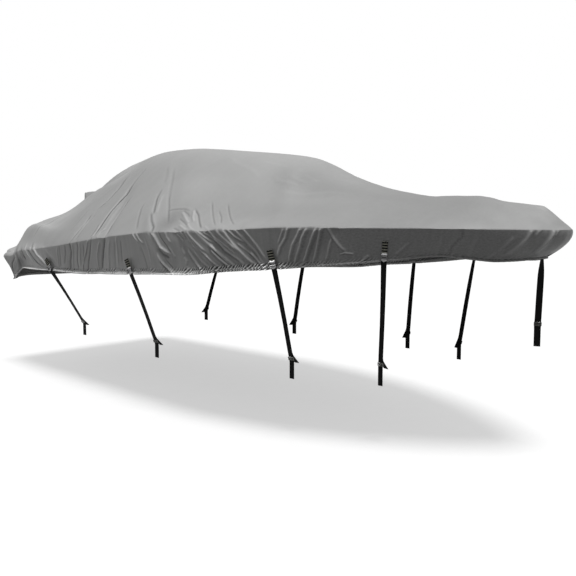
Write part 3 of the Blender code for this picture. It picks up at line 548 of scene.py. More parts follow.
def gunwale_lengths():
    """Places among the ribs, and their distances along the gunwale from the transom's middle."""
    fine = np.linspace(0.0, len(RIBS) - 1.0, 40 * len(RIBS))
    x = smooth_curve(RIB_KNOTS, RIB_COLUMNS["crease_x"], fine)
    y = smooth_curve(RIB_KNOTS, RIB_COLUMNS["half_beam"], fine)
    length = np.concatenate(([0.0], np.cumsum(np.hypot(np.diff(x), np.diff(y)))))
    return fine, length


RIB_COLUMNS = dict(zip(RIB_NAMES, zip(*RIBS)))
RIB_KNOTS = np.arange(len(RIBS))
FINE_RIB, FINE_LENGTH = gunwale_lengths()
HALF_LENGTH = FINE_LENGTH[-1]


def rib_at(s):
    """All rib columns at distances s along the gunwale, as a dict of arrays."""
    place = np.interp(s, FINE_LENGTH, FINE_RIB)
    return {name: smooth_curve(RIB_KNOTS, column, place) for name, column in RIB_COLUMNS.items()}


def ridge_height(x):
    return smooth_curve(*zip(*RIDGE), x)


def outward(s):
    """Plan direction square to the gunwale, pointing away from the boat."""
    ahead, behind = (rib_at(np.clip(s + step, 0.0, HALF_LENGTH)) for step in (0.02, -0.02))
    along_x = ahead["crease_x"] - behind["crease_x"]
    along_y = ahead["half_beam"] - behind["half_beam"]
    along = np.hypot(along_x, along_y)
    return -along_y / along, along_x / along


def hood_height(x, y):
    """Cloth drawn tight over the squared hood at the transom."""
    beyond = np.maximum(np.abs(y) - HOOD_HALF_WIDTH, 0.0)
    fore = smoothstep(HOOD_FRONT + HOOD_FADE, HOOD_FRONT, x)
    aft = np.maximum(HOOD_BACK + HOOD_CUT * beyond - x, 0.0)
    return HOOD_HEIGHT * fore - HOOD_SIDE_SLOPE * beyond - HOOD_AFT_SLOPE * aft


def chart(s, v):
    """Flat coordinates of the cloth in metres: along the gunwale, and up from it."""
    v = np.asarray(v, float)
    up = np.where(v < 0.0, v * SKIRT_DEPTH, v * TOP_WIDTH)
    return np.stack([np.asarray(s, float), up], axis=-1)


def mesh_object(name, points, faces, material, uv=None, tone=None):
    mesh = bpy.data.meshes.new(name)
    mesh.from_pydata([tuple(p) for p in points], [], faces)
    mesh.materials.append(material)
    if uv is not None:
        layer = mesh.uv_layers.new(name="metres")
        corner = np.empty(len(mesh.loops), dtype=np.int32)
        mesh.loops.foreach_get("vertex_index", corner)
        layer.data.foreach_set("uv", np.asarray(uv, np.float32)[corner].ravel())
    if tone is not None:
        # The tone attribute carries the light and shade painted on the cloth.
        wear_and_painted_shading = mesh.attributes.new("tone", "FLOAT", "POINT")
        wear_and_painted_shading.data.foreach_set("value", np.asarray(tone, np.float32).ravel())
    mesh.shade_smooth()
    mesh.update()
    return link_object(name, mesh)


def link_object(name, data):
    obj = bpy.data.objects.new(name, data)
    bpy.context.scene.collection.objects.link(obj)
    return obj


@contextmanager
def edited(obj):
    """An object's mesh as a bmesh, written back afterwards."""
    mesh = bmesh.new()
    mesh.from_mesh(obj.data)
    yield mesh
    mesh.to_mesh(obj.data)
    mesh.free()


def panel_faces(start, rows, columns, side):
    """Quads of a grid of points, wound so that they face outward."""
    low = start + np.arange(rows - 1)[:, None] * (columns + 1) + np.arange(columns)[None, :]
    low = low.ravel()
    quads = np.stack([low, low + 1, low + columns + 2, low + columns + 1], axis=-1)
    return quads[:, ::(1 if side < 0 else -1)].tolist()


def place_piece(piece, node):
    """Ride on the one body and stand for its solid."""
    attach(piece, "root")
    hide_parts(node)


class Solid:
    """Points and faces of one piece, gathered part by part."""

    def __init__(self):
        self.points = []
        self.faces = []
        self.uv = []
        self.slots = []

    def loft(self, rings, flats, slot=0):
        """Join closed rings of equal length and cap both ends."""
        start = len(self.points)
        count = len(rings[0])
        for ring, flat in zip(rings, flats):
            self.points.extend(ring)
            self.uv.extend(flat)
        for ring in range(len(rings) - 1):
            low = start + ring * count
            for i in range(count):
                j = (i + 1) % count
                self.faces.append((low + i, low + j, low + count + j, low + count + i))
        self.faces.append(tuple(range(start, start + count))[::-1])
        last = start + (len(rings) - 1) * count
        self.faces.append(tuple(range(last, last + count)))
        self.slots += [slot] * (len(self.faces) - len(self.slots))

    def mould(self, axes, rings, flats, slot=0):
        """Loft rings of x across, y down and z out from an origin."""
        origin, across, down, out = axes
        self.loft([[origin + across * x + down * y + out * z for x, y, z in ring]
                   for ring in rings], flats, slot)

    def make(self, name, materials):
        obj = mesh_object(name, self.points, self.faces, materials[0], self.uv)
        for material in materials[1:]:
            obj.data.materials.append(material)
        obj.data.polygons.foreach_set("material_index", self.slots)
        with edited(obj) as mesh:
            bmesh.ops.recalc_face_normals(mesh, faces=mesh.faces)
        obj.data.set_sharp_from_angle(angle=math.radians(SHARP_OVER))
        return obj


def ribbon_profile(width, thickness):
    """Cross-section of webbing: offsets across it and out of it, with rounded edges."""
    shares = np.array((-0.47, -0.30, -0.10, 0.10, 0.30, 0.47))
    outer = [(share * width, thickness) for share in shares]
    inner = [(share * width, 0.0) for share in shares[::-1]]
    half = 0.5 * width
    return np.array([(-half, 0.5 * thickness), *outer, (half, 0.5 * thickness), *inner])


def ribbon(solid, sections, width, thickness, slot=0, passes=4):
    """Webbing through (middle of inner face, across, out) sections, its bends rounded."""
    place = np.array([section[0] for section in sections])
    length = np.concatenate(([0.0], np.cumsum(np.linalg.norm(np.diff(place, axis=0), axis=1))))
    along = np.linspace(0.0, length[-1], max(3, int(length[-1] / RIBBON_PACE)))
    rows = np.array([np.concatenate(section) for section in sections])
    dense = np.stack([np.interp(along, length, column) for column in rows.T], axis=-1)
    for _ in range(passes):
        dense[1:-1] = 0.25 * dense[:-2] + 0.5 * dense[1:-1] + 0.25 * dense[2:]
    profile = ribbon_profile(width, thickness)
    rings = []
    for row in dense:
        across = unit(row[3:6])
        out = square_to(across, row[6:9])
        rings.append([row[0:3] + across * x + out * z for x, z in profile])
    solid.loft(rings, [[(x, distance) for x, _ in profile] for distance in along], slot)


def facing(side, run, toward):
    """Direction square to a strip's side and run, on the same hand as toward."""
    out = unit(np.cross(side, run))
    return out if np.dot(out, toward) > 0.0 else -out


# ---- cloth ---------------------------------------------------------------------------------------
def smooth_cloth(s, v):
    """Cloth without folds on the half where y is positive; s and v are arrays of one shape."""
    rib = rib_at(s)
    out_x, out_y = outward(s)
    centre = (s < 1e-6) | (s > HALF_LENGTH - 1e-6)
    out_y = np.where(centre, 0.0, out_y)
    out_x = np.where(centre, np.sign(out_x), out_x)
    top = np.clip(v, 0.0, 1.0)
    skirt = np.clip(-v, 0.0, 1.0)
    across = 1.0 - top
    x = rib["ridge_x"] + (rib["crease_x"] - rib["ridge_x"]) * across
    y = rib["half_beam"] * across
    rise = ridge_height(rib["ridge_x"]) - rib["crease_h"]
    from_crest = (np.sqrt(across ** 2 + CREST ** 2) - CREST) / (math.sqrt(1 + CREST ** 2) - CREST)
    slope = 1.0 - from_crest ** np.maximum(rib["crown"], 1.0)
    slope = slope - SLACK * np.maximum(1.0 - rib["crown"], 0.0) * np.sin(np.pi * from_crest)
    bell = np.clip(1.0 - (across / rib["hump_w"]) ** 2, 0.0, 1.0) ** 2
    step = np.clip(top / SHOULDER_END, 0.0, 1.0)
    shoulder = SHOULDER_RISE * step ** SHOULDER_POWER * (1.0 - step)
    height = rib["crease_h"] + rise * ((1.0 - rib["hump"]) * slope + rib["hump"] * bell)
    height = height + rib["shoulder"] * shoulder
    beside = hill(s, BESIDE_HOOD, BESIDE_REACH)
    for place, reach, lift in SWELLS:
        height = height + beside * lift * hill(v, place, reach)
    hood = hood_height(x, y)
    draped = 0.5 * (height + hood + np.sqrt((height - hood) ** 2 + HOOD_SOFTNESS ** 2))
    height = np.where(v > 0.0, draped, height)
    x = x - out_x * rib["hem_in"] * skirt
    y = y - out_y * rib["hem_in"] * skirt
    height = height + (rib["hem_h"] - rib["crease_h"]) * skirt
    return np.stack([x, y, height], axis=-1)


def fold_lift(s, v):
    """Height of the broad folds at s, v: each is a soft ridge or trough that fades at both ends."""
    lift = np.zeros(np.shape(s))
    for s_high, v_high, s_edge, s_low, v_low, width, height in FOLDS:
        course = np.interp(v, (v_low, 0.0, v_high), (s_low, s_edge, s_high))
        fade = smoothstep(v_high + FOLD_HEAD[0], v_high + FOLD_HEAD[1], v)
        if v_low > -0.99:
            fade = fade * smoothstep(v_low + FOLD_FOOT[0], v_low + FOLD_FOOT[1], v)
        lift = lift + height * fade * hill(s, course, width)
    return lift


def beside_path(spots, path):
    """How far the spots lie from a path, on which flank, and what share of the way along it."""
    nearest = np.full(len(spots), np.inf)
    flank = np.ones(len(spots))
    travel = np.zeros(len(spots))
    length = 0.0
    for start, end in zip(path[:-1], path[1:]):
        run = end - start
        size = np.hypot(*run)
        upper = np.array([-run[1], run[0]]) * (1.0 if run[0] > 0.0 else -1.0)
        share = np.clip((spots - start) @ run / size ** 2, 0.0, 1.0)
        offset = spots - start - share[:, None] * run
        distance = np.hypot(offset[:, 0], offset[:, 1])
        closer = distance < nearest
        nearest = np.where(closer, distance, nearest)
        flank = np.where(closer, np.sign(offset @ upper), flank)
        travel = np.where(closer, length + share * size, travel)
        length += size
    return nearest, flank, travel / length


def crease_shape(s, v, creases):
    """Height of the small folds at s, v, and the highlight and shade painted over them there."""
    place = chart(s, v)
    lift = np.zeros(s.shape)
    tone = np.zeros(s.shape)
    for above, below, height, pale, *points in creases:
        path = chart(points[::2], points[1::2])
        reach = 3.0 * max(above, below)
        near = (place > path.min(axis=0) - reach) & (place < path.max(axis=0) + reach)
        near = np.all(near, axis=-1)
        spots = place[near]
        nearest, flank, travel = beside_path(spots, path)
        fade = smoothstep(*FADE_IN, travel) * smoothstep(*FADE_OUT, travel)
        if height > 0.0 and path[:, 1].mean() < 0.0:
            fade = fade * smoothstep(*BELOW_GUNWALE, spots[:, 1])
        lift[near] += height * fade * hill(nearest, 0.0, np.where(flank > 0.0, above, below))
        # Painted highlight on a crest and painted shade at its foot; in a groove, painted shade and
        # a painted highlight on its brim.
        if pale > 0.0:
            beside = nearest * flank
            lit = hill(beside, CREST_PLACE * above, CREST_WIDTH * above)
            shade = CREST_SHADE * hill(beside, -FOOT_PLACE * below, FOOT_WIDTH * below)
            tone[near] += fade * pale * (lit - shade)
        else:
            groove_shade = hill(nearest, 0.0, GROOVE_WIDTH * min(above, below))
            lit = GROOVE_LIGHT * hill(nearest, BRIM_PLACE * above, BRIM_WIDTH * above)
            tone[near] += fade * pale * (groove_shade - lit)
    return lift, tone


def ripple(s, v, seed):
    """Slight unevenness of cloth drawn over a frame: a few crossed waves, in metres."""
    along, up = np.moveaxis(chart(s, v), -1, 0)
    lift = np.zeros(s.shape)
    for k_along, k_up, phase, height in RIPPLES:
        waves = 2.0 * np.pi * (k_along * along + k_up * up) / RIPPLE_SPAN
        lift = lift + height * np.sin(waves + phase + seed)
    return lift


def hem_shape(s, v, side):
    """Slanting gathers and the standing edge of the hem, and the highlight and shade painted on
    them.
    """
    up = (v + 1.0) * SKIRT_DEPTH
    drift = 0.013 * np.sin(s * 17.0 + side) + 0.009 * np.sin(s * 41.0 + 2.0 * side)
    phase = (s - RUFFLE_LEAN * up + drift) / RUFFLE_PITCH
    crest = (0.5 + 0.5 * np.cos(2.0 * np.pi * phase)) ** 1.5
    uneven = 0.72 + 0.28 * np.sin(s * 23.0 + 1.3 * side) * np.sin(s * 9.0)
    band = between(s, GATHER) * uneven * smoothstep(*GATHER_FADE, up)
    lip = np.clip(1.0 - up / LIP_HEIGHT, 0.0, 1.0) ** 1.2
    lift = RUFFLE_HEIGHT * band * (crest - 0.4)
    lift = lift + between(s, FLARE) * lip * (0.80 + 0.20 * np.sin(s * 7.0))
    # Painted highlights on the gathers' crests and painted shade between them, and a painted
    # highlight along the casing.
    tone = between(s, GATHER_PAINTED_SHADING) * band * (crest - 0.36) + between(s, CASING_PAINTED_HIGHLIGHT) * lip ** 2.6
    return lift, tone


def painted_broad_shading(s, v):
    """Broad light and shade painted on the cloth: palest over the peak, darker forward and on the
    skirt there.
    """
    peak = smoothstep(0.55, 0.9, v) * smoothstep(1.0, 2.0, s) * smoothstep(6.2, 5.0, s)
    top = between(s, TOP_PAINTED_SHADING) + PEAK_PAINTED_LIGHT * peak
    share = smoothstep(-0.03, 0.03, v)
    tone = top * share + between(s, SKIRT_PAINTED_SHADING) * (1.0 - share)
    for middle_s, middle_v, reach_s, reach_v, amount in PAINTED_SHADING_PATCHES:
        near = ((s - middle_s) / reach_s) ** 2 + ((v - middle_v) / reach_v) ** 2
        same_side = (v > 0.0) if middle_v > 0.0 else (v <= 0.0)
        tone = tone + amount * np.exp(-near) * same_side
    return tone


def side_creases(side):
    """The small folds of one side in metres; to port they are shifted and softened unevenly."""
    rows = []
    for number, (above, below, height, pale, *points) in enumerate(CREASES):
        wider = softer = 1.0
        if side > 0:
            points[::2] = [s + PORT_SHIFT * math.sin(2.1 * s + 0.8) for s in points[::2]]
            wider = PORT_WIDER
            softer = 0.75 + 0.30 * math.sin(number * 2.4)
        rows.append((above / MM * wider, below / MM * wider, height / MM * softer, pale * softer,
                     *points))
    return rows


def rounded_cloth(s, v):
    """Smooth cloth with the bend over the gunwale rounded."""
    reach = between(s, ROUNDING)
    mean = 0.0
    for share in ROUNDING_STEPS:
        up = smooth_cloth(s, np.clip(v + share * reach / TOP_WIDTH, -1.0, 1.0))
        down = smooth_cloth(s, np.clip(v - share * reach / SKIRT_DEPTH, -1.0, 1.0))
        mean = mean + (up + down) / (2.0 * len(ROUNDING_STEPS))
    near = smoothstep(1.0, 0.0, np.abs(chart(s, v)[..., 1]) / (1.6 * reach))
    here = smooth_cloth(s, v)
    return here + (mean - here) * (between(s, ROUNDING_SHARE) * near)[..., None]


def surface(s, v, side):
    """Fine cloth points on one side, their outward normals and the light and shade painted on the
    cloth there.
    """
    ahead, behind = (smooth_cloth(np.clip(s + step, 0, HALF_LENGTH), v) for step in NORMAL_STEPS)
    above, below = (smooth_cloth(s, np.clip(v + step, -1, 1)) for step in NORMAL_STEPS)
    normal = np.cross(above - below, ahead - behind)
    normal = normal / np.maximum(np.linalg.norm(normal, axis=-1, keepdims=True), 1e-9)
    to_nose = smoothstep(HALF_LENGTH, HALF_LENGTH - 0.1, s)
    folded = smoothstep(0.0, 0.25, s) * to_nose * smoothstep(1.0, 0.9, v)
    hemmed = smoothstep(0.0, 0.1, s) * to_nose
    rest = tab_rest(s, v)
    small, tone = crease_shape(s, v, side_creases(side))
    edge, edge_tone = hem_shape(s, v, side)
    lift = (fold_lift(s, v) + small * rest + ripple(s, v, side)) * folded + edge * hemmed * rest
    # The tone: light and shade painted over the small folds, the gathers and the broad forms.
    tone = (tone * folded + edge_tone * hemmed) * rest + painted_broad_shading(s, v)
    point = rounded_cloth(s, v) + normal * lift[..., None]
    hang = np.clip(-v, 0.0, 1.0)
    belly = BOW_BELLY * smoothstep(BELLY_START, HALF_LENGTH, s) * 4.0 * hang * (1.0 - hang)
    up = chart(s, v)[..., 1]
    bulge = STERN_BULGE * hill(s, *BULGE_PLACE) * hill(up, *BULGE_HEIGHT)
    out_x, out_y = outward(s)
    point[..., 0] += out_x * (belly + bulge)
    point[..., 1] += out_y * (belly + bulge)
    point[..., 2] += BULGE_LIFT * bulge * smoothstep(*BULGE_LIFTED, up)
    point[..., 1] *= side
    normal[..., 1] *= side
    return point - FROM_GROUND, normal, tone


def tab_rest(s, v):
    """Small folds lie flatter where a tab is sewn on."""
    rest = np.ones(s.shape)
    for s_top, s_hem, *_ in STRAPS:
        middle = np.interp(v, (-1.0, -0.5), (s_hem, s_top))
        inside = smoothstep(*REST_BESIDE, np.abs(s - middle)) * smoothstep(*REST_BELOW, v)
        rest = rest * (1.0 - REST_SHARE * inside)
    return rest


def places(count):
    """Distances along the gunwale of the cloth's columns, closest where the folds are smallest."""
    fine = np.linspace(0.0, HALF_LENGTH, 4000)
    pace = between(fine, COLUMN_PACE)
    total = np.concatenate(([0.0], np.cumsum(0.5 * (pace[1:] + pace[:-1]))))
    return np.interp(np.linspace(0.0, total[-1], count + 1), total, fine)


def cloth_grid(side, columns, rows):
    """Points of one side, its ends on the centre line, with their tones and flat places."""
    grid = np.meshgrid(columns, rows)
    points, _, tone = surface(*grid, side)
    points[:, (0, -1), 1] = 0.0
    return points.reshape(-1, 3), tone.ravel(), chart(*grid).reshape(-1, 2)


def build_skirt(side, material):
    """The hanging panel of one side, from the hem to just under the gunwale."""
    columns = WIDE_COLUMNS * FINER[side]
    points, tone, flat = cloth_grid(side, places(columns), SKIRT_ROWS)
    faces = panel_faces(0, len(SKIRT_ROWS), columns, side)
    return mesh_object("skirt_" + SIDE_NAMES[side], points, faces, material, flat, tone)


def build_band(side, material):
    """The panel that bends over the gunwale; its upper edge has the top panel's columns."""
    finer = FINER[side]
    columns = WIDE_COLUMNS * finer
    panel = cloth_grid(side, places(columns), BAND_ROWS)
    edge = cloth_grid(side, places(columns)[::finer], BAND_TOP)
    points, tone, flat = (np.concatenate(both) for both in zip(panel, edge))
    faces = panel_faces(0, len(BAND_ROWS), columns, side)
    upper = len(BAND_ROWS) * (columns + 1)
    last = upper - (columns + 1)
    for column in range(WIDE_COLUMNS):
        low = last + finer * column
        corners = [*range(low, low + finer + 1), upper + column + 1, upper + column]
        faces.append(corners[::-side])
    return mesh_object("band_" + SIDE_NAMES[side], points, faces, material, flat, tone)


def build_top(material):
    """The top panel, its two halves joined at the ridge."""
    width = WIDE_COLUMNS + 1
    halves = [cloth_grid(side, places(2 * WIDE_COLUMNS)[::2], WIDE_ROWS) for side in (-1, 1)]
    for points, _, _ in halves:
        points[-width:, 1] = 0.0
    points, tone, flat = (np.concatenate((starboard, port[:-width]))
                          for starboard, port in zip(*halves))
    faces = panel_faces(0, len(WIDE_ROWS), WIDE_COLUMNS, -1)
    start = len(WIDE_ROWS) * width
    faces += panel_faces(start, len(WIDE_ROWS) - 1, WIDE_COLUMNS, 1)
    ridge = start - width
    last = start + (len(WIDE_ROWS) - 2) * width
    for column in range(WIDE_COLUMNS):
        faces.append([last + column, ridge + column, ridge + column + 1, last + column + 1])
    obj = mesh_object("cloth_top", points, faces, material, flat, tone)
    with edited(obj) as mesh:
        bmesh.ops.remove_doubles(mesh, verts=mesh.verts, dist=1e-6)
    return obj


def build_hem(material):
    """The sewn hem: the skirt's last stretch, gathered on its cord and turned up inside."""
    points, uv, tones, faces = [], [], [], []
    for side in (-1, 1):
        grid = np.meshgrid(places(HEM_COLUMNS), HEM_ROWS)
        outer, normal, tone = surface(*grid, side)
        outer = outer + normal * HEM_STAND
        down = outer[-1] - outer[-2]
        down = down / np.linalg.norm(down, axis=-1, keepdims=True)
        edge = outer[-1] - down * HEM_ROLL
        turned = [edge + normal[-1] * HEM_ROLL * out + down * HEM_ROLL * drop
                  for out, drop, _ in HEM_TURN]
        rows = np.array([*outer[:-1], *turned])
        rows[:, (0, -1), 1] = 0.0
        faces += panel_faces(len(points), len(rows), HEM_COLUMNS, -side)
        points.extend(rows.reshape(-1, 3))
        flat = chart(*grid)
        uv.extend(flat[:-1].reshape(-1, 2))
        for number, (_, _, share) in enumerate(HEM_TURN, 1):
            uv.extend(flat[-1] - (0.0, HEM_TURN_PITCH * number))
        tones.extend([*tone[:-1], *(tone[-1] * share for _, _, share in HEM_TURN)])
    return mesh_object("hem", points, faces, material, uv, np.concatenate(tones))


# ---- tabs, buckles, straps and sliders -----------------------------------------------------------
def cross_bar(solid, axes, begin, length, half_width, height, slot=0):
    """Moulded bar across a buckle, with a wide bevel on its upper side."""
    profile = [(begin + y * length, z * height) for y, z in BAR_PROFILE]
    inner = half_width - BAR_CHAMFER
    ends = ((-half_width, BAR_END), (-inner, 1.0), (inner, 1.0), (half_width, BAR_END))
    rings = [[(x, y, z * share) for y, z in profile] for x, share in ends]
    solid.mould(axes, rings, [[(x, y + z) for y, z in profile] for x, _ in ends], slot)


def side_rail(solid, axes, middle, begin, end, width, height):
    """Moulded side of a buckle, running along the strap."""
    profile = [(middle + 0.5 * width * x, z * height) for x, z in RAIL_PROFILE]
    rings = [[(x, y, z) for x, z in profile] for y in (begin, end)]
    solid.mould(axes, rings, [[(x, y) for x, _ in profile] for y in (begin, end)])


def build_tab(name, axes, width):
    """Banded tab: a plain strip crossed by four rounded loops of black webbing."""
    base, across, down, out = axes
    solid = Solid()
    strip = [(base, across, out), (base + down * TAB_LENGTH, across, out)]
    ribbon(solid, strip, width * TAB_STRIP, TAB_THICKNESS, slot=1, passes=0)
    pitch = (TAB_LENGTH - TAB_LAP) / TAB_BARS
    low = 0.5 * TAB_THICKNESS
    profile = [(0.5 * TAB_LOOP * pitch * (1.0 - math.cos(angle)),
                low + (TAB_BAR_THICKNESS - low) * math.sin(angle) ** TAB_LOOP_POWER)
               for angle in np.linspace(0.0, math.pi, 9)]
    for number in range(TAB_BARS):
        rings = [[(x * width, number * pitch + y, z * share) for y, z in profile]
                 for x, share in TAB_LOOP_ENDS]
        flats = [[(y + number, x * width) for y, _ in profile] for x, _ in TAB_LOOP_ENDS]
        solid.mould(axes, rings, flats)
    return solid.make(name, (FINISHES["black"], FINISHES["tab"]))


def build_buckle(name, axes, width):
    """Buckle: recessed plate, two side rails, two bevelled bars and a pointed nose."""
    solid = Solid()
    half = 0.5 * width
    side_rail(solid, axes, middle=0.0, begin=0.0008, end=0.046, width=width * 0.90, height=0.0022)
    for side in (-1.0, 1.0):
        side_rail(solid, axes, middle=side * (half - 0.0036), begin=0.0010, end=0.044,
                  width=0.0066, height=0.0070)
    # The first bar and the nose take the pale plastic: painted glints of light on their bevels.
    cross_bar(solid, axes, begin=0.0, length=0.0115, half_width=half * 0.97, height=0.0105, slot=1)
    cross_bar(solid, axes, begin=0.0265, length=0.0090, half_width=half, height=0.0105)
    rings, flats = [], []
    for place, half_width, height in NOSE:
        profile = [(x * half_width * width / BUCKLE_WIDTH, z * height) for x, z in NOSE_PROFILE]
        rings.append([(x, place - NOSE_DIP * abs(x) / half, z) for x, z in profile])
        flats.append([(x, place) for x, _ in profile])
    solid.mould(axes, rings, flats, 1)
    return solid.make(name, (FINISHES["plastic"], FINISHES["painted_glint"]))


def build_slider(name, axes, width):
    """Slider: a small frame with three bars across the strap."""
    solid = Solid()
    half = 0.5 * width
    for side in (-1.0, 1.0):
        side_rail(solid, axes, middle=side * (half - 0.0024), begin=0.0, end=SLIDER_LENGTH,
                  width=0.0046, height=0.0044)
    for begin in (0.0, 0.0095, 0.0190):
        cross_bar(solid, axes, begin, length=0.0068, half_width=half * 0.98, height=0.0056)
    return solid.make(name, (FINISHES["slider"],))


def strap_route(head, foot, inboard):
    """Places along one strap: its head, its nearly straight run and the rail's face."""
    clear = head[1]
    route = list(head)
    straight = 1.0 - FLAT_END / np.linalg.norm(foot - clear)
    for share in (0.06, 0.32 * straight, 0.66 * straight, straight):
        sag = STRAP_SAG * math.sin(math.pi * share / straight)
        route.append(clear + (foot - clear) * share + inboard * sag)
    return route + [foot, foot - UP * (0.5 * RAIL_FACE), foot - UP * RAIL_FACE]


def strap_sections(route, across, rail_across, outer):
    """The strap at each place, turning from the line of its tab to lie flat on the rail."""
    sections = []
    for number, place in enumerate(route):
        before = route[0 if number < 2 else number - 1]
        after = route[1 if number < 2 else min(number + 1, len(route) - 1)]
        run = unit(after - before)
        turn = smoothstep(1.0, 4.0, float(number))
        side = square_to(run, across * (1.0 - turn) + rail_across * turn)
        outer = facing(side, run, outer)
        sections.append((place, side, outer))
    return sections


def return_sections(foot, run, side, out, inboard):
    """The return leg, which starts inside the strap above its foot and turns behind the rail."""
    lead = foot - run * RETURN_LEAD - out * (WEBBING_THICKNESS + GAP)
    bend = lead + run * RETURN_BEND
    low = unit(inboard * 0.70 - UP * 0.72)
    leg = [(lead, side, out), (bend, side, out)]
    for share in (0.35, 0.7, 1.0):
        place = bend + low * (RETURN_LENGTH - RETURN_BEND) * share
        leg.append((place, side, facing(side, low, out)))
    return leg


def place_webbing(kind, label, sections, width):
    solid = Solid()
    ribbon(solid, sections, width, WEBBING_THICKNESS)
    place_piece(solid.make(f"{kind}_{label}_webbing", (FINISHES["black"],)), f"{kind}_{label}")


def build_tie(label, head, outer, foot, across, inboard, wide=1.0):
    """One strap from its head to the rail, down the rail's face, with its slider and return leg."""
    width = WEBBING_WIDTH * wide
    rail_across = unit(np.cross(UP, inboard))
    if np.dot(rail_across, across) < 0.0:
        rail_across = -rail_across
    route = strap_route(head, foot, inboard)
    sections = strap_sections(route, across, rail_across, outer)
    place_webbing("strap", label, sections, width)
    run = unit(foot - sections[-4][0])
    side = square_to(run, rail_across)
    out = facing(side, run, sections[-1][2])
    slide = foot - run * (SLIDER_LENGTH + SLIDER_ABOVE_RAIL) + out * (WEBBING_THICKNESS + GAP)
    place_piece(build_slider(f"slider_{label}_frame", (slide, side, run, out), SLIDER_WIDTH * wide),
                "slider_" + label)
    leg = return_sections(foot, run, side, out, inboard)
    place_webbing("return", label, leg, width)


def smooth_at(s, v, side):
    """Cloth without its small folds, from which the tabs take their line."""
    s = np.array([s])
    v = np.array([v])
    here = smooth_cloth(s, v)[0]
    out_x, out_y = outward(s)
    here += np.array([out_x[0], out_y[0], 0.0]) * fold_lift(s, v)[0]
    here[1] *= side
    return here - FROM_GROUND


def hang_straps(side_name, side, tree):
    """The four tabs, buckles and straps of one side."""
    plane_length = TAB_LENGTH - TAB_LAP + BUCKLE_LENGTH
    for number, (s_top, s_hem, *foot, tab_wide, strap_wide) in enumerate(STRAPS, 1):
        label = f"{side_name}{number}"
        hem_point = smooth_at(s_hem, -1.0, side)
        down = unit(hem_point - smooth_at(s_top, -0.5, side))
        across = unit(smooth_at(s_hem + 0.05, -0.8, side) - smooth_at(s_hem - 0.05, -0.8, side))
        across = square_to(down, across)
        out = np.cross(across, down) * side
        if side < 0:
            across = -across
        plane = (hem_point - down * plane_length, across, down, out)
        buckle_width = BUCKLE_WIDTH * tab_wide
        stand = reach_past_plane(tree, plane, buckle_width, plane_length, 1) + GAP
        base = plane[0] + out * stand
        tab = build_tab(f"tab_{label}_bands", (base, across, down, out), TAB_WIDTH * tab_wide)
        place_piece(tab, "tab_" + label)
        start = base + down * (TAB_LENGTH - TAB_LAP) + out * (TAB_THICKNESS + GAP)
        place_piece(build_buckle(f"buckle_{label}_frame", (start, across, down, out), buckle_width),
                    "buckle_" + label)
        top_face = base + out * (TAB_THICKNESS - WEBBING_THICKNESS)
        head = (top_face + down * (plane_length - STRAP_LAP),
                top_face + down * (plane_length + 0.010))
        foot = np.array(foot) * (1.0, side, 1.0) - FROM_GROUND
        build_tie(label, head, out, foot, across, np.array([0.0, -side, 0.0]), strap_wide)


def hang_bow_strap(tree):
    """The bow strap, sewn inside the hem under the nose."""
    hem_point = smooth_at(HALF_LENGTH, -1.0, 1.0)
    high = smooth_at(HALF_LENGTH, -0.8, 1.0)
    hem_point[1] = high[1] = 0.0
    down = unit(hem_point - high)
    across = np.array([0.0, 1.0, 0.0])
    out = unit(np.cross(across, down))
    if out[0] < 0.0:
        out = -out
    plane = (hem_point - down * BOW_STRAP_LAP, across, down, out)
    inside = reach_past_plane(tree, plane, WEBBING_WIDTH, BOW_STRAP_LAP, -1) + GAP
    base = plane[0] - out * (inside + WEBBING_THICKNESS)
    head = (base, base + down * (BOW_STRAP_LAP + 0.004))
    build_tie("bow", head, out, BOW_STRAP_FOOT - FROM_GROUND, across, BOW_STRAP_INBOARD)


def cloth_tree(panels):
    """The panels' faces in one search tree."""
    corners, faces = [], []
    for panel in panels:
        start = len(corners)
        corners.extend(tuple(vertex.co) for vertex in panel.data.vertices)
        faces.extend([start + i for i in face.vertices] for face in panel.data.polygons)
    return BVHTree.FromPolygons(corners, faces)


def reach_past_plane(tree, plane, width, length, sign):
    """Farthest that the cloth reaches past a plane, along its out (sign 1) or against it (-1)."""
    origin, across, down, out = plane
    reach = 0.2
    farthest = -reach
    for along in np.linspace(0.0, length, 25):
        for offset in np.linspace(-width / 2.0, width / 2.0, 15):
            foot = origin + down * along + across * offset
            hit = tree.ray_cast(Vector(foot + sign * out * reach), Vector(-sign * out), 2 * reach)
            if hit[0] is not None:
                farthest = max(farthest, reach - hit[3])
    return farthest


# ---- materials -----------------------------------------------------------------------------------
def feed(tree, node, inputs):
    """Set a node's inputs, or link them where a socket is given."""
    for key, value in inputs.items():
        if isinstance(value, bpy.types.NodeSocket):
            tree.links.new(value, node.inputs[key])
        else:
            node.inputs[key].default_value = value


def add_node(tree, kind, inputs=None, **settings):
    node = tree.nodes.new(kind)
    for key, value in settings.items():
        setattr(node, key, value)
    feed(tree, node, inputs or {})
    return node


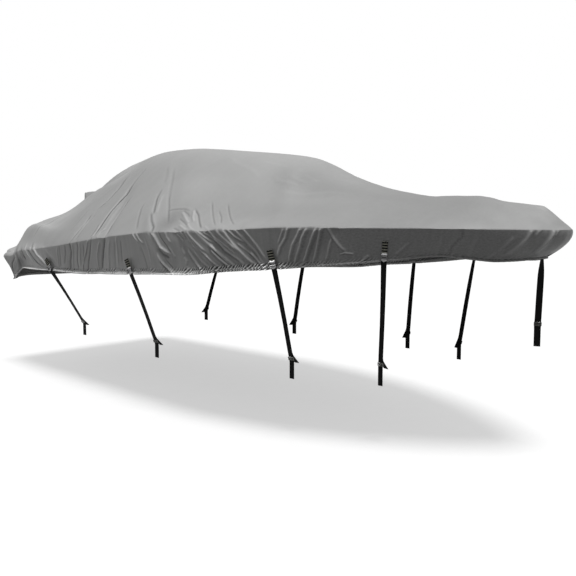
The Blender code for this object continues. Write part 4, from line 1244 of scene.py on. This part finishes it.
class Nodes:
    """Small helper that adds and links the shader nodes of one material."""

    def __init__(self, name):
        self.material = bpy.data.materials.new(name)
        self.material.use_nodes = True
        self.tree = self.material.node_tree
        self.shader = self.tree.nodes["Principled BSDF"]

    def add(self, kind, inputs=None, **settings):
        return add_node(self.tree, kind, inputs, **settings)

    def uv(self):
        return self.add("ShaderNodeUVMap", uv_map="metres").outputs[0]

    def place(self):
        return self.add("ShaderNodeTexCoord").outputs["Object"]

    def split(self, source):
        return self.add("ShaderNodeSeparateXYZ", {0: source}).outputs

    def math(self, operation, first, second=0.0, third=0.0):
        inputs = {0: first, 1: second, 2: third}
        return self.add("ShaderNodeMath", inputs, operation=operation).outputs[0]

    def times(self, first, *others):
        for other in others:
            first = self.math("MULTIPLY", first, other)
        return first

    def rise(self, source, low, rise):
        """From low where the source is 0, by rise for each unit of it."""
        return self.math("MULTIPLY_ADD", source, rise, low)

    def mix(self, share, first, second):
        inputs = {0: share, 6: (*first, 1.0), 7: (*second, 1.0)}
        return self.add("ShaderNodeMix", inputs, data_type="RGBA").outputs[2]

    def noise(self, source, scale, detail, roughness):
        return self.add("ShaderNodeTexNoise", {"Vector": source, "Scale": scale, "Detail": detail,
                                               "Roughness": roughness}).outputs["Fac"]

    def wave(self, source, period, direction, distortion=0.0):
        return self.add("ShaderNodeTexWave", {"Vector": source, "Scale": WAVE_PERIOD / period,
                                              "Distortion": distortion},
                        wave_type="BANDS", bands_direction=direction).outputs["Fac"]

    def bump(self, height, strength, distance, **normal):
        inputs = {"Height": height, "Strength": strength, "Distance": distance, **normal}
        return self.add("ShaderNodeBump", inputs).outputs[0]

    def shade(self, **inputs):
        """Feed the shader; an input's name is written with _ for each space."""
        named = {name.replace("_", " "): value for name, value in inputs.items()}
        feed(self.tree, self.shader, named)
        return self.material


def cloth_material(name, tint, hem=False):
    """Coated woven polyester: plain weave, cloudy colour, light and shade painted over its folds
    and broad forms, and fine wrinkles.
    """
    kit = Nodes(name)
    uv = kit.uv()
    place = kit.place()
    weave = kit.times(kit.wave(uv, 0.0011, "X", 0.6), kit.wave(uv, 0.0012, "Y", 0.6))
    cloud = kit.noise(place, scale=2.2, detail=4.0, roughness=0.55)
    mottle = kit.noise(place, scale=26.0, detail=3.0, roughness=0.6)
    stretched = kit.add("ShaderNodeMapping", {"Vector": uv, "Scale": (26.0, 2.2, 1.0)}).outputs[0]
    streak = kit.noise(stretched, scale=1.0, detail=3.0, roughness=0.5)
    streak = kit.math("SUBTRACT", streak, 0.5)
    up = kit.split(uv)[1]
    hangs = kit.math("LESS_THAN", up, 0.0)
    streak = kit.times(streak, kit.rise(hangs, 0.06, 0.34))
    tone = kit.times(kit.rise(cloud, 0.92, 0.16), kit.rise(mottle, 0.95, 0.10),
                     kit.math("ADD", streak, 1.0), kit.rise(weave, 0.95, 0.10))
    # Light and shade painted on the cloth, from the tone attribute, broken up by noise.
    wear_and_painted_shading = kit.add("ShaderNodeAttribute", attribute_name="tone").outputs["Fac"]
    broken = kit.noise(uv, scale=55.0, detail=3.0, roughness=0.6)
    wear_and_painted_shading = kit.times(wear_and_painted_shading, kit.rise(broken, 0.6, 0.8))
    wear_and_painted_shading = kit.math("MAXIMUM", kit.math("ADD", wear_and_painted_shading, 1.0), DARKEST)
    tone = kit.times(tone, kit.math("MINIMUM", wear_and_painted_shading, PALEST))
    if hem:
        row = kit.math("ABSOLUTE", kit.math("ADD", up, STITCH_ROW))
        dash = kit.math("GREATER_THAN", kit.wave(uv, 0.0064, "X"), 0.35)
        thread = kit.times(kit.math("LESS_THAN", row, 0.0007), dash)
        tone = kit.times(tone, kit.rise(thread, 1.0, -0.35))
    grey = kit.add("ShaderNodeCombineColor", {0: tone, 1: tone, 2: tone}).outputs[0]
    colour = kit.add("ShaderNodeMix", {0: 1.0, 6: (*tint, 1.0), 7: grey},
                     data_type="RGBA", blend_type="MULTIPLY").outputs[2]
    wrinkle = kit.noise(uv, scale=38.0, detail=4.0, roughness=0.6)
    wrinkled = kit.bump(wrinkle, 0.22, 0.0035)
    normal = kit.bump(weave, 0.30, 0.00025, Normal=wrinkled)
    return kit.shade(Base_Color=colour, Normal=normal, Roughness=kit.rise(mottle, 0.42, 0.14),
                     Specular_IOR_Level=0.5, Sheen_Weight=0.12, Sheen_Roughness=0.45)


def webbing_material(name, dark, light):
    """Woven webbing: ribs across it, cords along it, and a paler line down its middle."""
    kit = Nodes(name)
    uv = kit.uv()
    weave = kit.times(kit.wave(uv, 0.0021, "Y", 0.8), kit.wave(uv, 0.0024, "X", 0.5))
    middle = kit.times(kit.math("ABSOLUTE", kit.split(uv)[0]), 1.0 / PALE_LINE)
    line = kit.math("MAXIMUM", kit.math("SUBTRACT", 1.0, middle), 0.0)
    share = kit.math("MULTIPLY_ADD", weave, 0.30, kit.times(line, 0.55))
    wear_and_painted_shading = kit.noise(uv, scale=60.0, detail=3.0, roughness=0.6)
    share = kit.times(share, kit.rise(wear_and_painted_shading, 0.5, 0.8))
    return kit.shade(Base_Color=kit.mix(share, dark, light), Roughness=0.80,
                     Normal=kit.bump(weave, 0.6, 0.0005), Specular_IOR_Level=0.12)


def plastic_material(name, colour, roughness, coat):
    """Moulded plastic with a faint grain, scuffed paler in patches."""
    kit = Nodes(name)
    place = kit.place()
    grain = kit.noise(place, scale=900.0, detail=2.0, roughness=0.5)
    rub = kit.noise(place, scale=70.0, detail=4.0, roughness=0.6)
    pale = [min(1.0, c * 1.9 + 0.01) for c in colour]
    return kit.shade(Base_Color=kit.mix(kit.times(rub, 0.5), colour, pale),
                     Normal=kit.bump(grain, 0.10, 0.0003), Coat_Weight=coat, Coat_Roughness=0.08,
                     Roughness=kit.rise(rub, roughness, 0.16))


def floor_material():
    """Pale floor that glows a little, so that it reads as white as the surround."""
    kit = Nodes("floor")
    speck = kit.noise(kit.place(), scale=6.0, detail=4.0, roughness=0.6)
    colour = kit.mix(speck, (0.40, 0.40, 0.40), (0.43, 0.43, 0.43))
    return kit.shade(Base_Color=colour, Roughness=0.9, Specular_IOR_Level=0.1,
                     Emission_Color=WHITE, Emission_Strength=0.52)


# ---- camera and light ----------------------------------------------------------------------------
def aim(obj, heading):
    obj.rotation_euler = Vector(heading).to_track_quat("-Z", "Y").to_euler()


def add_camera():
    data = bpy.data.cameras.new("camera")
    data.lens = CAMERA_LENS
    data.sensor_width = 36.0
    data.clip_end = 200.0
    camera = link_object("camera", data)
    camera.location = CAMERA_PLACE
    level = math.cos(CAMERA_PITCH)
    aim(camera, (-math.cos(CAMERA_TURN) * level, math.sin(CAMERA_TURN) * level,
                 -math.sin(CAMERA_PITCH)))
    bpy.context.scene.camera = camera


def add_floor():
    plan = ((-1, -1), (1, -1), (1, 1), (-1, 1))
    corners = [(x * FLOOR_HALF, y * FLOOR_HALF, GROUND) for x, y in plan]
    floor = mesh_object("floor", corners, [(0, 1, 2, 3)], floor_material())
    floor.visible_diffuse = False


def add_sun(name, energy, degrees, heading):
    sun = bpy.data.lights.new(name, "SUN")
    sun.energy = energy
    sun.angle = math.radians(degrees)
    lamp = link_object(name, sun)
    aim(lamp, heading)
    return lamp


def add_surround():
    """White to the camera, and a soft fill on the part that grows from below to above."""
    world = bpy.data.worlds.new("surround")
    world.use_nodes = True
    tree = world.node_tree
    direction = add_node(tree, "ShaderNodeTexCoord").outputs["Generated"]
    up = add_node(tree, "ShaderNodeSeparateXYZ", {0: direction}).outputs[2]
    level = add_node(tree, "ShaderNodeMapRange", {0: up, "From Min": -0.6, "From Max": 0.9,
                                                  "To Min": 0.06, "To Max": 0.50})
    fill = tree.nodes["Background"]
    feed(tree, fill, {"Color": WHITE, "Strength": level.outputs[0]})
    seen = add_node(tree, "ShaderNodeBackground", {"Color": WHITE, "Strength": 1.0})
    camera_ray = add_node(tree, "ShaderNodeLightPath").outputs["Is Camera Ray"]
    both = add_node(tree, "ShaderNodeMixShader",
                    {0: camera_ray, 1: fill.outputs[0], 2: seen.outputs[0]})
    feed(tree, tree.nodes["World Output"], {"Surface": both.outputs[0]})
    bpy.context.scene.world = world
    bpy.context.scene.view_settings.view_transform = "Standard"


def add_panel():
    """Lamp that only the buckles and sliders receive, for their glints."""
    lamp = add_sun("panel", 4.5, 44.0, (0.74, 0.20, -0.64))
    lamp.visible_diffuse = False
    lamp.light_linking.receiver_collection = bpy.data.collections.new("glossy_plastic")
    return lamp.light_linking.receiver_collection


# ---- assembly ------------------------------------------------------------------------------------
add_camera()
add_floor()
add_sun("overhead", 2.9, 18.0, (-0.22, 0.13, -1.0))
add_surround()
glossy = add_panel()
grey = cloth_material("woven_cloth", (0.318, 0.319, 0.317))
hem_grey = cloth_material("hem_cloth", (0.330, 0.331, 0.329), hem=True)
FINISHES = {
    "black": webbing_material("strap_webbing", (0.0012, 0.0012, 0.0013), (0.009, 0.009, 0.0092)),
    "tab": webbing_material("tab_strip", (0.34, 0.34, 0.28), (0.58, 0.59, 0.50)),
    "plastic": plastic_material("buckle_plastic", (0.020, 0.020, 0.022), 0.16, 1.0),
    # Pale plastic for the buckles' first bar and nose: painted glints.
    "painted_glint": plastic_material("painted_glint_buckle_bars", (0.52, 0.52, 0.53), 0.16, 1.0),
    "slider": plastic_material("slider_frame_plastic", (0.030, 0.031, 0.024), 0.28, 0.5),
}

top = build_top(grey)
skirts = [build_skirt(side, grey) for side in (-1, 1)]
bands = [build_band(side, grey) for side in (-1, 1)]
hem = build_hem(hem_grey)
for piece in (top, *skirts, *bands, hem):
    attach(piece, "root")
    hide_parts("cover")

bpy.context.view_layer.update()
tree = cloth_tree((*skirts, hem))
hang_straps("s", -1.0, tree)
hang_straps("p", 1.0, tree)
hang_bow_strap(tree)
for piece in bpy.context.scene.objects:
    if piece.name.startswith(("buckle_", "slider_")) and piece.name.endswith("_frame"):
        glossy.objects.link(piece)
